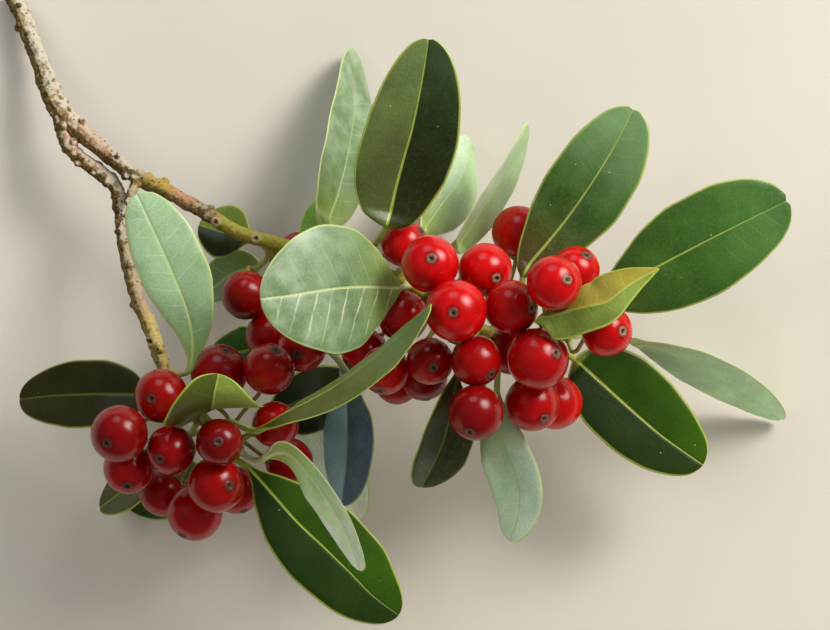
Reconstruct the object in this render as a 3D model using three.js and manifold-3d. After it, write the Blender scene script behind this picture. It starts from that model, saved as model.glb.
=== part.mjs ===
// Canary Island holly branch, cut and laid down on a table.
// One forked woody branch carries leathery leaves and red drupes on short stalks.
// Units are millimetres, +Z is up and the table is the plane Z = 0.
//
// Places are written as [x, y, z] the way an eye straight above the branch sees them:
// x and y are read in the plane at FOCUS_HEIGHT, and z is the real height above the table.

import * as THREE from 'three';
import { mergeVertices } from 'three/addons/utils/BufferGeometryUtils.js';
import Module from 'manifold-3d';

// Viewing distance that turns the seen places into real ones
const EYE_HEIGHT = 600;
const FOCUS_HEIGHT = 30;

// Joints between separate pieces
const SEAT_GAP = 0.3;
const CLEARANCE = 0.6;
const CROWDING_COST = 40;

// Woody shoots
const SHOOT_SIDES = 10;
const SHOOT_STEP = 3.2;
const PLACES_PER_STEP = 4;

// Leaves
const LEAF_THICKNESS = 0.5;
const PETIOLE_RADIUS = 0.55;
const PETIOLE_FOOT = 1;
const PETIOLE_SHARES = [0, 0.35, 0.7, 1];
const SPAN_PARTS = 20;
const KEEL_DEPTH = 0.25;
const USUAL_FULLNESS = [0.85, 0.5];
const BLADE_STATIONS = [0.06, 0.19, 0.35, 0.52, 0.69, 0.84, 0.95];
const RIM = [1, 0.5, 0, -0.5, -1, -0.5, 0, 0.5];
const FACE = [0, 1, 1, 1, 0, -1, -1, -1];

// Drupes and their stalks
const STALK_RADIUS = 0.42;
const LEAF_BALL_RADIUS = 0.6;
const CALYX_ANGLE = 16;
const DRUPE_ANGLES = [CALYX_ANGLE, 48, 80, 112, 146];
const STALK_STATIONS = [0, 0.2, 0.42, 0.66, 0.93];
const STALK_LEANS = [0, -35, 35, -70, 70];
const STALK_BULGES = [0.2, 0.45, 0.7];
const STALK_SEARCH = 25;
const STALK_CHECKS = 16;
const FOOT_SHARE = 0.3;
const RING_SIDES = 8;

// Each shoot is a list of [x, y, z, radius] from its older end to its tip.
const SHOOTS = {
  upper: [
    [-67.2, 53.5, 1.4, 1.35], [-64.7, 48, 3.2, 1.5], [-62.9, 43, 4.8, 1.55],
    [-61.4, 39.1, 6.2, 1.65], [-59.7, 34.7, 7.8, 1.9], [-57.3, 32, 9, 1.75],
    [-53.7, 28.7, 10.6, 1.5], [-49.8, 25.7, 12, 1.5], [-46.5, 23, 13.2, 1.4],
    [-43, 21.5, 14.2, 1.35], [-39.3, 19.5, 15.2, 1.3], [-35, 17.1, 16.2, 1.3],
    [-29, 13.5, 17.4, 1.3], [-24.3, 12.3, 18.4, 1.25], [-20.7, 11.3, 19.2, 1.2],
    [-10.8, 8.8, 21.3, 1.15], [-1.7, 5.5, 23, 1.15], [1.7, 3, 23.5, 1.15],
    [9.2, -1.7, 24, 1.1], [15.8, -3.8, 24, 1.05], [22.2, -3.8, 24.5, 0.95],
    [25.4, -3.2, 25, 0.75]
  ],
  lower: [
    [-59.4, 33.4, 8.2, 1.3], [-58.2, 28.7, 9.6, 1.3], [-55.8, 26, 10.4, 1.35],
    [-52.5, 23.9, 11, 1.35], [-49.8, 21.5, 11.6, 1.3], [-49, 16.7, 12.6, 1.25],
    [-48, 9.2, 14.4, 1.2], [-45.8, 1.7, 16.4, 1.25], [-43.8, -3, 17.8, 1.3],
    [-42, -8.3, 19.4, 1.25], [-38.3, -14.2, 21, 1.15], [-33.8, -18.8, 22.6, 1.05],
    [-29.2, -22, 24, 0.85]
  ],
  side: [
    [-23.9, 12.1, 18.3, 0.9], [-23.2, 7.8, 16.4, 0.85], [-21.2, 1.7, 14.6, 0.8],
    [-17.2, -3.3, 13.6, 0.75], [-13.3, -6.2, 13, 0.65]
  ],
  spur: [
    [-46.4, 23, 13.4, 0.85], [-47, 20.8, 15, 0.75], [-48.2, 18.4, 16.2, 0.55]
  ]
};

// A leaf runs along blade from its neck to its tip, and petiole holds the points before the neck.
// halves are the widths left and right of the midrib, seen from above along the leaf, and
// broadest says how far along the blade each is reached. roll turns the blade about its midrib at
// the neck and at the tip, in degrees: a positive turn lifts the left half. fold lifts both
// halves, in degrees, and bow curls their margins, as a part of the half width. fullness rounds
// the outline at the base and at the tip: the lower, the blunter.
const LEAVES = [
  {
    name: 'upper_leaf_01', shoot: 'upper', petiole: [[-7.5, 10.5, 26]],
    blade: [[-4.8, 14.7, 31], [-2.8, 22.7, 33], [-0.4, 31.3, 36], [1.3, 39.7, 38], [2.3, 46.2, 39]],
    halves: [7.8, 8], broadest: [0.42, 0.47], fullness: [0.45, 0.45],
    roll: [0, 0], fold: 16, bow: -0.06
  },
  {
    name: 'upper_leaf_02', shoot: 'upper', petiole: [],
    blade: [[-15.2, 13.8, 18], [-12.3, 22.5, 13.5], [-10.2, 34.2, 8.5], [-10.3, 44.3, 2]],
    halves: [7, 7], broadest: [0.45, 0.5], fullness: [0.5, 0.5],
    roll: [50, 58], fold: 8, bow: -0.1
  },
  {
    name: 'upper_leaf_03', shoot: 'upper', petiole: [[-0.5, 11.5, 19]],
    blade: [[0.8, 13.5, 17.5], [4.2, 18.3, 13], [7.5, 22.8, 8.5], [9.2, 29.2, 2]],
    halves: [6.5, 6.5], broadest: [0.5, 0.5],
    roll: [42, 42], fold: 8, bow: -0.1
  },
  {
    name: 'upper_leaf_04', shoot: 'upper', petiole: [],
    blade: [[6.2, 10.5, 21], [10.8, 17.2, 20], [15.5, 25, 19], [18.7, 32, 17.5]],
    halves: [6, 6], broadest: [0.45, 0.45], fullness: [0.6, 0.5],
    roll: [66, 70], fold: 12, bow: 0
  },
  {
    name: 'upper_leaf_05', shoot: 'upper', petiole: [[18.7, 1.2, 26]],
    blade: [[18, 6.2, 27], [24.3, 14.7, 28], [29.6, 22.2, 30], [34, 29.5, 31.5], [36.5, 34.5, 32]],
    halves: [7.2, 7], broadest: [0.55, 0.58], fullness: [0.55, 0.42],
    roll: [0, 0], fold: 12, bow: -0.04
  },
  {
    name: 'upper_leaf_06', shoot: 'upper', petiole: [[26.6, -0.8, 25.8]],
    blade: [[30.5, 2.3, 27], [40.3, 8, 29], [53, 14.6, 31], [62.3, 19.2, 31]],
    halves: [8.3, 8.8], broadest: [0.6, 0.5], fullness: [0.6, 0.42],
    roll: [0, 0], fold: 8, bow: -0.06
  },
  {
    name: 'upper_leaf_07', shoot: 'upper', petiole: [[21.2, -1.6, 34], [20.6, -1.2, 40.5]],
    blade: [
      [20.9, -0.8, 43], [24.7, 0.2, 44.7], [28.4, 1.2, 46.2], [32, 2.1, 46.2],
      [35.5, 4.8, 45], [40.7, 7.7, 43]
    ],
    halves: [3.6, 5.8], broadest: [0.2, 0.5], fullness: [0.5, 0.8],
    roll: [154, 164], fold: 36, bow: 0
  },
  {
    name: 'upper_leaf_08', shoot: 'upper', petiole: [[24, -5.7, 22.2]],
    blade: [[26.5, -7.3, 20.8], [33.5, -13.5, 19.5], [40.7, -19.8, 19.2], [48, -25, 17.5]],
    halves: [8.1, 7.3], broadest: [0.42, 0.45], fullness: [0.5, 0.42],
    roll: [0, 0], fold: 8, bow: -0.06
  },
  {
    name: 'upper_leaf_09', shoot: 'upper', petiole: [[29.6, -3.2, 23.4]],
    blade: [[35.8, -4.3, 21], [43.3, -6.8, 16.5], [51.7, -11.3, 10], [61.2, -17.5, 1.6]],
    halves: [6.5, 6.5], broadest: [0.5, 0.5],
    roll: [60, 60], fold: 8, bow: -0.1
  },
  {
    name: 'upper_leaf_10', shoot: 'upper', petiole: [[7.8, -6.2, 28]],
    blade: [[7, -9.8, 31], [5.9, -15.8, 32], [4.3, -22, 31], [1, -28.7, 28]],
    halves: [5.8, 5.8], broadest: [0.62, 0.6], fullness: [0.6, 0.45],
    roll: [-40, -40], fold: 15, bow: -0.05
  },
  {
    name: 'upper_leaf_11', shoot: 'upper', petiole: [[14, -7.5, 25]],
    blade: [[13.7, -12.8, 26], [14.3, -19.5, 27], [16.7, -25.6, 27], [17.5, -31.8, 26], [15.8, -37.7, 23]],
    halves: [5.2, 5.8], broadest: [0.5, 0.5],
    roll: [38, 38], fold: 14, bow: -0.1
  },
  {
    name: 'upper_leaf_12', shoot: 'upper', petiole: [],
    blade: [[-2.7, 4.5, 30], [-8.8, 4.7, 36], [-15.2, 4.2, 40.5], [-20.8, 3.3, 43.5], [-25.8, 2.7, 45.5]],
    halves: [10.8, 10.8], broadest: [0.5, 0.5],
    roll: [0, 0], fold: 4, bow: -0.12
  },
  {
    name: 'lower_leaf_01', shoot: 'lower', petiole: [[-31.1, -17.9, 27.6]],
    blade: [
      [-26.2, -19.3, 34.5], [-22.7, -17.3, 38], [-15.8, -13.8, 40.5], [-8.8, -9.2, 42],
      [-2.5, -3.8, 44], [2.7, 1.5, 47.5]
    ],
    halves: [6.5, 6.5], broadest: [0.6, 0.6],
    roll: [110, 110], fold: 10, bow: 0
  },
  {
    name: 'lower_leaf_02', shoot: 'lower', petiole: [[-27.2, -19.7, 22.5]],
    blade: [[-25.2, -17.5, 20], [-19.2, -14.2, 14.4], [-13.3, -12.2, 9.4], [-8.8, -10.8, 6.8]],
    halves: [5, 6.5], broadest: [0.5, 0.5],
    roll: [15, 10], fold: 8, bow: -0.05
  },
  {
    name: 'lower_leaf_03', shoot: 'lower', petiole: [[-40.5, -9.7, 25]],
    blade: [[-37.7, -9.2, 30], [-37.2, -2.2, 32], [-38.9, 3.3, 33], [-41.9, 10.5, 34], [-46.4, 20.2, 33]],
    halves: [5.4, 6.2], broadest: [0.6, 0.6], fullness: [0.8, 0.42],
    roll: [0, 0], fold: 8, bow: -0.1
  },
  {
    name: 'lower_leaf_04', shoot: 'lower', petiole: [[-43, -11, 19.6]],
    blade: [[-44.2, -12.7, 19.2], [-52.7, -13.2, 18], [-59.5, -13.4, 15.5], [-65.9, -14, 12]],
    halves: [6.1, 6.1], broadest: [0.45, 0.45], fullness: [0.6, 0.42],
    roll: [15, 15], fold: 10, bow: -0.05
  },
  {
    name: 'lower_leaf_05', shoot: 'lower', petiole: [[-35.2, -15.3, 26]],
    blade: [
      [-34, -15.2, 29.5], [-33.9, -15.6, 36], [-33.7, -14.8, 41.5], [-33.3, -12.6, 44],
      [-32.7, -9.8, 44.6]
    ],
    halves: [8.4, 8.4], broadest: [0.5, 0.5],
    roll: [54, 30], fold: 10, bow: 0
  },
  {
    name: 'lower_leaf_06', shoot: 'lower', petiole: [],
    blade: [
      [-28, -25.2, 25.5], [-25.5, -27.8, 26.5], [-19.3, -34.8, 28.5], [-12.7, -41, 29],
      [-6.8, -47, 28], [-2.7, -50, 26]
    ],
    halves: [7.5, 7.5], broadest: [0.55, 0.55],
    roll: [0, 0], fold: 8, bow: -0.06
  },
  {
    name: 'lower_leaf_07', shoot: 'lower', petiole: [[-27, -24.2, 29]],
    blade: [
      [-24.5, -23.5, 36], [-21.2, -23, 40], [-17.2, -27, 42], [-13.2, -33, 42],
      [-10.4, -38.8, 40.5], [-9.2, -42.6, 39]
    ],
    halves: [6, 6], broadest: [0.55, 0.55],
    roll: [65, 65], fold: 8, bow: 0
  },
  {
    name: 'lower_leaf_08', shoot: 'lower', petiole: [[-37.5, -20, 18]],
    blade: [[-40.8, -23.3, 14.5], [-46.7, -27.8, 10], [-52.5, -32.2, 6]],
    halves: [5.5, 5.5], broadest: [0.5, 0.5],
    roll: [45, 45], fold: 8, bow: 0
  },
  {
    name: 'lower_leaf_09', shoot: 'lower', petiole: [[-32.8, -22.5, 17]],
    blade: [[-35, -25.5, 11], [-41.7, -29.5, 4.4], [-48.2, -31.3, 1]],
    halves: [5, 6], broadest: [0.5, 0.5],
    roll: [15, 15], fold: 8, bow: 0
  },
  {
    name: 'side_leaf_01', shoot: 'side', petiole: [],
    blade: [[-12.2, -8.5, 18], [-11.3, -15.3, 17], [-11.3, -23.3, 16], [-12.2, -31.7, 14]],
    halves: [7.4, 6], broadest: [0.5, 0.55],
    roll: [48, 48], fold: 8, bow: -0.05
  },
  {
    name: 'side_leaf_02', shoot: 'side', petiole: [],
    blade: [[-18.7, -9.5, 7], [-16.2, -19.2, 4.5], [-12.5, -27.5, 3.2], [-9.2, -34, 1.8]],
    halves: [6, 6], broadest: [0.55, 0.55],
    roll: [20, 20], fold: 8, bow: -0.05
  },
  {
    name: 'side_leaf_03', shoot: 'side', petiole: [[-21.4, -0.8, 12.2]],
    blade: [[-23.2, -2.5, 10.2], [-27.5, -5.8, 8.8], [-34, -6.3, 9]],
    halves: [4.5, 4.5], broadest: [0.5, 0.5],
    roll: [20, 20], fold: 8, bow: 0
  },
  {
    name: 'middle_leaf_01', shoot: 'upper', petiole: [],
    blade: [[-27.5, 12.6, 14.5], [-31.3, 13.6, 12], [-36, 15, 11]],
    halves: [5, 5], broadest: [0.5, 0.5],
    roll: [15, 15], fold: 10, bow: 0
  },
  {
    name: 'middle_leaf_02', shoot: 'upper', petiole: [[-24.4, 10.2, 15]],
    blade: [[-25.5, 8.6, 12], [-30.5, 6.8, 9.5], [-35.8, 2.5, 9]],
    halves: [4.5, 4.5], broadest: [0.5, 0.5],
    roll: [30, 30], fold: 8, bow: 0
  },
  {
    name: 'middle_leaf_03', shoot: 'upper', petiole: [],
    blade: [[-19.2, 12.6, 15], [-15.8, 15.6, 11.5], [-11.5, 20, 8.5]],
    halves: [3.2, 3.2], broadest: [0.5, 0.5],
    roll: [0, 0], fold: 8, bow: 0
  }
];

// at is the centre of a drupe, and apex is the place of its scar from the centre, in radii: [x, y]
// for a scar that faces up, or [x, y, z] for the direction of one that doesn't.
const DRUPES = [
  { name: 'upper_berry_01', shoot: 'upper', at: [2.5, 8.5, 37], radius: 4.75, apex: [0.04, 0.18] },
  { name: 'upper_berry_02', shoot: 'upper', at: [11.7, 7.5, 33], radius: 4.5, apex: [0.41, -0.33] },
  { name: 'upper_berry_03', shoot: 'upper', at: [17.3, 13.7, 20], radius: 4.65, apex: [0.1, 0.9, -0.3] },
  { name: 'upper_berry_04', shoot: 'upper', at: [6.8, 0.75, 41.5], radius: 5.1, apex: [-0.1, -0.07] },
  { name: 'upper_berry_05', shoot: 'upper', at: [16, 1.3, 38], radius: 4.5, apex: [0.75, -0.05] },
  { name: 'upper_berry_06', shoot: 'upper', at: [23.2, 5.4, 45.6], radius: 4.5, apex: [0.46, 0.1] },
  { name: 'upper_berry_07', shoot: 'upper', at: [26.8, 7.5, 34.4], radius: 4, apex: [0.4, 0.6, 0.6] },
  { name: 'upper_berry_08', shoot: 'upper', at: [32, -2.7, 36], radius: 4.2, apex: [0.6, 0] },
  { name: 'upper_berry_09', shoot: 'upper', at: [20.5, -7.3, 38.7], radius: 5.1, apex: [0.58, 0.2] },
  { name: 'upper_berry_10', shoot: 'upper', at: [10.2, -7.6, 38.3], radius: 4.2, apex: [0.6, -0.57] },
  { name: 'upper_berry_11', shoot: 'upper', at: [10.1, -16.3, 39], radius: 4.6, apex: [-0.23, -0.69] },
  { name: 'upper_berry_12', shoot: 'upper', at: [19.5, -14.8, 31.8], radius: 4.6, apex: [0.43, -0.53] },
  { name: 'upper_berry_13', shoot: 'upper', at: [23.4, -14.6, 23.8], radius: 4.6, apex: [0.3, -0.9, -0.2] },
  { name: 'upper_berry_14', shoot: 'upper', at: [2.5, -7.7, 33.8], radius: 3.9, apex: [0.15, -0.28] },
  { name: 'upper_berry_15', shoot: 'upper', at: [-1.8, 12, 26], radius: 4, apex: [0.75, 0.5] },
  { name: 'upper_berry_16', shoot: 'upper', at: [-2, -0.2, 27], radius: 4.3, apex: [0.6, -0.6] },
  { name: 'upper_berry_17', shoot: 'upper', at: [-5, -9.2, 31], radius: 4.1, apex: [-0.2, -0.85, 0.4] },
  { name: 'side_berry_01', shoot: 'side', at: [-28.2, 3.3, 18.6], radius: 4.2, apex: [-0.05, -0.95] },
  { name: 'side_berry_02', shoot: 'side', at: [-24.2, -3.5, 16.2], radius: 4.2, apex: [-0.1, -0.95] },
  { name: 'side_berry_03', shoot: 'side', at: [-18.8, -5.3, 23.6], radius: 4.2, apex: [-0.2, -0.3] },
  { name: 'lower_berry_01', shoot: 'lower', at: [-42.3, -13.5, 31], radius: 4.5, apex: [-0.31, -0.09] },
  { name: 'lower_berry_02', shoot: 'lower', at: [-49.3, -19.8, 36.3], radius: 4.75, apex: [-0.35, -0.3] },
  { name: 'lower_berry_03', shoot: 'lower', at: [-47.7, -25.6, 27.7], radius: 4.3, apex: [0, -0.66] },
  { name: 'lower_berry_04', shoot: 'lower', at: [-40.7, -22.5, 33], radius: 4.1, apex: [-0.4, -0.35] },
  { name: 'lower_berry_05', shoot: 'lower', at: [-32.7, -9.6, 27], radius: 4.8, apex: [0.3, 0.8] },
  { name: 'lower_berry_06', shoot: 'lower', at: [-24.3, -9, 31], radius: 4.3, apex: [0.3, 0.75] },
  { name: 'lower_berry_07', shoot: 'lower', at: [-32.6, -21.2, 38], radius: 3.9, apex: [0, 0.05] },
  { name: 'lower_berry_08', shoot: 'lower', at: [-33.2, -28.3, 33], radius: 4.7, apex: [0.54, 0] },
  { name: 'lower_berry_09', shoot: 'lower', at: [-36.7, -33, 25.5], radius: 4.7, apex: [-0.45, -0.8] },
  { name: 'lower_berry_10', shoot: 'lower', at: [-42, -29.5, 19], radius: 4.1, apex: [-0.7, -0.6, -0.3] },
  { name: 'lower_berry_11', shoot: 'lower', at: [-23.3, -18.3, 29], radius: 3.9, apex: [0.8, 0.4] },
  { name: 'lower_berry_12', shoot: 'lower', at: [-21, -24.5, 20], radius: 4.1, apex: [0.9, -0.2, -0.35] }
];

const BARK = { color: 0x8d7f55, roughness: 0.85, metalness: 0 };
const LEAF = { color: 0x47692f, roughness: 0.4, metalness: 0 };
const DRUPE = { color: 0xb80d10, roughness: 0.2, metalness: 0 };

const UP = new THREE.Vector3(0, 0, 1);
const wasm = await Module();
wasm.setup();

// The real place of a point given as the eye sees it
function sighted([x, y, z]) {
  const scale = (EYE_HEIGHT - z) / (EYE_HEIGHT - FOCUS_HEIGHT);
  return new THREE.Vector3(x * scale, y * scale, z);
}

// A vector without its part along a unit direction, made one long
function square(vector, direction) {
  return vector.clone().addScaledVector(direction, -vector.dot(direction)).normalize();
}

// A closed skin over rings of points, with one point in the middle of each end
function loft(startPole, rings, endPole) {
  const sides = rings[0].length;
  const points = [startPole, ...rings.flat(), endPole];
  const last = points.length - 1;
  const at = (ring, side) => 1 + ring * sides + (side % sides);
  const faces = [];
  for (let side = 0; side < sides; side += 1) {
    faces.push(0, at(0, side + 1), at(0, side));
    faces.push(last, at(rings.length - 1, side), at(rings.length - 1, side + 1));
    for (let ring = 0; ring + 1 < rings.length; ring += 1) {
      faces.push(at(ring, side), at(ring, side + 1), at(ring + 1, side + 1));
      faces.push(at(ring, side), at(ring + 1, side + 1), at(ring + 1, side));
    }
  }
  const geometry = new THREE.BufferGeometry();
  const flat = points.flatMap((point) => point.toArray());
  geometry.setAttribute('position', new THREE.Float32BufferAttribute(flat, 3));
  geometry.setIndex(faces);
  return geometry;
}

// A round ring about a centre, counted from across towards normal
function roundRing(centre, across, normal, radius, sides) {
  return Array.from({ length: sides }, (_, side) => {
    const angle = (2 * Math.PI * side) / sides;
    return centre.clone()
      .addScaledVector(across, radius * Math.cos(angle))
      .addScaledVector(normal, radius * Math.sin(angle));
  });
}

// Normals carried along a curve without twist, from the one at the anchor station
function carriedNormals(tangents, anchor, normal) {
  const normals = [];
  const turn = new THREE.Quaternion();
  normals[anchor] = normal;
  for (let i = anchor + 1; i < tangents.length; i += 1) {
    turn.setFromUnitVectors(tangents[i - 1], tangents[i]);
    normals[i] = normals[i - 1].clone().applyQuaternion(turn);
  }
  for (let i = anchor - 1; i >= 0; i -= 1) {
    turn.setFromUnitVectors(tangents[i + 1], tangents[i]);
    normals[i] = normals[i + 1].clone().applyQuaternion(turn);
  }
  return normals;
}

// The centre line of a shoot with its radius anywhere along it
function shootAxis(stations) {
  const curve = new THREE.CatmullRomCurve3(stations.map(sighted), false, 'centripetal');
  const radiusAt = (t) => {
    const place = t * (stations.length - 1);
    const index = Math.min(Math.floor(place), stations.length - 2);
    return THREE.MathUtils.lerp(stations[index][3], stations[index + 1][3], place - index);
  };
  const count = Math.round(curve.getLength() / SHOOT_STEP);
  return Array.from({ length: count + 1 }, (_, i) => {
    const t = curve.getUtoTmapping(i / count);
    return { point: curve.getPoint(t), tangent: curve.getTangent(t), radius: radiusAt(t) };
  });
}

function shootGeometry(axis) {
  const tangents = axis.map((place) => place.tangent);
  const normals = carriedNormals(tangents, 0, square(UP, tangents[0]));
  const rings = axis.map(({ point, tangent, radius }, i) => {
    const across = normals[i].clone().cross(tangent);
    return roundRing(point, across, normals[i], radius, SHOOT_SIDES);
  });
  return loft(axis[0].point, rings, axis[axis.length - 1].point);
}

function solidOf(geometry) {
  const merged = mergeVertices(geometry);
  return new wasm.Manifold(new wasm.Mesh({
    numProp: 3,
    vertProperties: new Float32Array(merged.attributes.position.array),
    triVerts: new Uint32Array(merged.index.array)
  }));
}

// The whole woody branch: every shoot grown together into one body
function branchGeometry(axes) {
  const solid = Object.values(axes)
    .map((axis) => solidOf(shootGeometry(axis)))
    .reduce((whole, shoot) => whole.add(shoot));
  const mesh = solid.getMesh();
  const geometry = new THREE.BufferGeometry();
  geometry.setAttribute('position', new THREE.BufferAttribute(mesh.vertProperties, 3));
  geometry.setIndex(new THREE.BufferAttribute(mesh.triVerts, 1));
  return geometry;
}

// Where a stalk that heads for a target leaves the bark, and which way it leaves
function seatOn(place, target) {
  const outward = square(target.clone().sub(place.point), place.tangent);
  const start = place.point.clone().addScaledVector(outward, place.radius + SEAT_GAP);
  return { start, outward };
}

// The places of a shoot with more between them, so that a seat can be anywhere
function closePlaces(axis) {
  return axis.slice(1).flatMap((next, i) => {
    const place = axis[i];
    return Array.from({ length: PLACES_PER_STEP }, (_, step) => {
      const share = step / PLACES_PER_STEP;
      return {
        point: place.point.clone().lerp(next.point, share),
        tangent: place.tangent.clone().lerp(next.tangent, share).normalize(),
        radius: THREE.MathUtils.lerp(place.radius, next.radius, share)
      };
    });
  });
}

function nearestPlace(axis, target) {
  const reach = (place) => place.point.distanceTo(target);
  return closePlaces(axis).reduce((best, place) => (reach(place) < reach(best) ? place : best));
}

// How wide one half is at a part v of the blade's length, as a part of its full width
function bladeOutline(v, broadest, [base, tip]) {
  const stretch = Math.log(0.5) / Math.log(broadest);
  return Math.sin(Math.PI * v ** stretch) ** THREE.MathUtils.lerp(base, tip, v);
}

// The rings and poles of a leaf: petiole from the bark to the neck, then the blade to the tip
function leafForm(leaf, axis) {
  const seen = [...leaf.petiole, ...leaf.blade].map(sighted);
  const { start, outward } = seatOn(nearestPlace(axis, seen[0]), seen[0]);
  const points = [start, start.clone().addScaledVector(outward, PETIOLE_FOOT), ...seen];
  const curve = new THREE.CatmullRomCurve3(points, false, 'centripetal');
  const neckIndex = 2 + leaf.petiole.length;
  const divisions = (points.length - 1) * SPAN_PARTS;
  const lengths = curve.getLengths(divisions);
  const neck = lengths[neckIndex * SPAN_PARTS] / lengths[divisions];
  const petioleStations = PETIOLE_SHARES.map((share) => share * neck);
  const bladeStations = BLADE_STATIONS.map((v) => neck + v * (1 - neck));
  const stations = [...petioleStations, ...bladeStations];
  const tangents = stations.map((u) => curve.getTangentAt(u));
  const middle = petioleStations.length + Math.floor(BLADE_STATIONS.length / 2);
  const normals = carriedNormals(tangents, middle, square(UP, tangents[middle]));
  const rings = stations.map((u, i) => {
    const v = Math.max(0, (u - neck) / (1 - neck));
    const centre = curve.getPointAt(u);
    const roll = THREE.MathUtils.degToRad(THREE.MathUtils.lerp(leaf.roll[0], leaf.roll[1], v));
    const normal = normals[i].clone().applyAxisAngle(tangents[i], roll);
    const left = normal.clone().cross(tangents[i]);
    if (i < petioleStations.length) {
      return roundRing(centre, left, normal, PETIOLE_RADIUS, RING_SIDES);
    }
    const fullness = leaf.fullness ?? USUAL_FULLNESS;
    const widths = leaf.halves.map((full, i) => full * bladeOutline(v, leaf.broadest[i], fullness));
    const rise = Math.tan(THREE.MathUtils.degToRad(leaf.fold));
    return RIM.map((share, side) => {
      const half = share < 0 ? widths[1] : widths[0];
      const away = Math.abs(share);
      const keel = side === 6 ? KEEL_DEPTH : 0;
      const height = half * (rise * away + leaf.bow * away * away);
      return centre.clone()
        .addScaledVector(left, half * share)
        .addScaledVector(normal, height + FACE[side] * LEAF_THICKNESS / 2 - keel);
    });
  });
  return { start, rings, tip: curve.getPointAt(1) };
}

// Small balls all over a leaf, which a stalk must pass
function leafBalls({ rings }) {
  return rings.slice(1).flatMap((ring, i) => ring.flatMap((point, side) => [
    { centre: point, radius: LEAF_BALL_RADIUS },
    { centre: point.clone().lerp(rings[i][side], 0.5), radius: LEAF_BALL_RADIUS }
  ]));
}

function apexDirection([x, y, z = Math.sqrt(1 - x * x - y * y)]) {
  return new THREE.Vector3(x, y, z).normalize();
}

// How much a stalk's curve is too close to anything it passes, summed along it. Its own drupe
// counts too, but not along its foot, where the two meet.
function crowding(curve, balls, own) {
  let crowd = 0;
  for (let i = 1; i < STALK_CHECKS; i += 1) {
    const point = curve.getPoint(i / STALK_CHECKS);
    const passed = i / STALK_CHECKS < 1 - FOOT_SHARE ? [own, ...balls] : balls;
    for (const ball of passed) {
      const room = point.distanceTo(ball.centre) - ball.radius - STALK_RADIUS;
      crowd += Math.max(0, CLEARANCE - room);
    }
  }
  return crowd;
}

// Every stalk worth trying from one place on a shoot to the foot of a drupe
function stalksFrom(place, foot, apex) {
  return STALK_LEANS.flatMap((lean) => {
    const target = foot.clone().sub(place.point);
    target.applyAxisAngle(place.tangent, THREE.MathUtils.degToRad(lean)).add(place.point);
    const { start, outward } = seatOn(place, target);
    const reach = start.distanceTo(foot);
    return STALK_BULGES.flatMap((first) => STALK_BULGES.map((second) => (
      new THREE.CubicBezierCurve3(
        start,
        start.clone().addScaledVector(outward, reach * first),
        foot.clone().addScaledVector(apex, -reach * second),
        foot
      )
    )));
  });
}

// The shortest stalk from the shoot to the foot of a drupe that keeps clear of its neighbours
function stalkCurve(axis, { centre, apex, radius, ball: own }, balls) {
  const foot = centre.clone().addScaledVector(apex, -radius);
  const near = balls.filter((ball) => ball.centre.distanceTo(foot) < STALK_SEARCH);
  let best = { cost: Infinity };
  for (const place of axis.filter((one) => one.point.distanceTo(foot) < STALK_SEARCH)) {
    for (const curve of stalksFrom(place, foot, apex)) {
      const length = curve.getLength();
      if (length < best.cost) {
        const cost = length + CROWDING_COST * crowding(curve, near, own);
        best = cost < best.cost ? { cost, curve } : best;
      }
    }
  }
  return best.curve;
}

// The rings and poles of a drupe with its stalk, from the bark to the scar
function drupeForm(centre, apex, radius, curve) {
  const tangents = STALK_STATIONS.map((t) => curve.getTangent(t));
  const side = Math.abs(apex.z) < 0.9 ? UP : new THREE.Vector3(1, 0, 0);
  const last = tangents.length - 1;
  const normals = carriedNormals(tangents, last, square(side, tangents[last]));
  const stalk = STALK_STATIONS.map((t, i) => {
    const across = normals[i].clone().cross(tangents[i]);
    return roundRing(curve.getPoint(t), across, normals[i], STALK_RADIUS, RING_SIDES);
  });
  const normal = square(normals[last], apex);
  const across = normal.clone().cross(apex);
  const fruit = DRUPE_ANGLES.map((degrees) => {
    const angle = THREE.MathUtils.degToRad(degrees);
    const middle = centre.clone().addScaledVector(apex, -radius * Math.cos(angle));
    return roundRing(middle, across, normal, radius * Math.sin(angle), RING_SIDES);
  });
  return {
    start: curve.getPoint(0),
    rings: [...stalk, ...fruit],
    tip: centre.clone().addScaledVector(apex, radius)
  };
}

// A mesh that sits at its seat on the bark
function seatedMesh(name, form, look) {
  const geometry = loft(form.start, form.rings, form.tip);
  geometry.translate(-form.start.x, -form.start.y, -form.start.z);
  const mesh = new THREE.Mesh(geometry, new THREE.MeshStandardMaterial(look));
  mesh.name = name;
  mesh.position.copy(form.start);
  return mesh;
}

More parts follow.
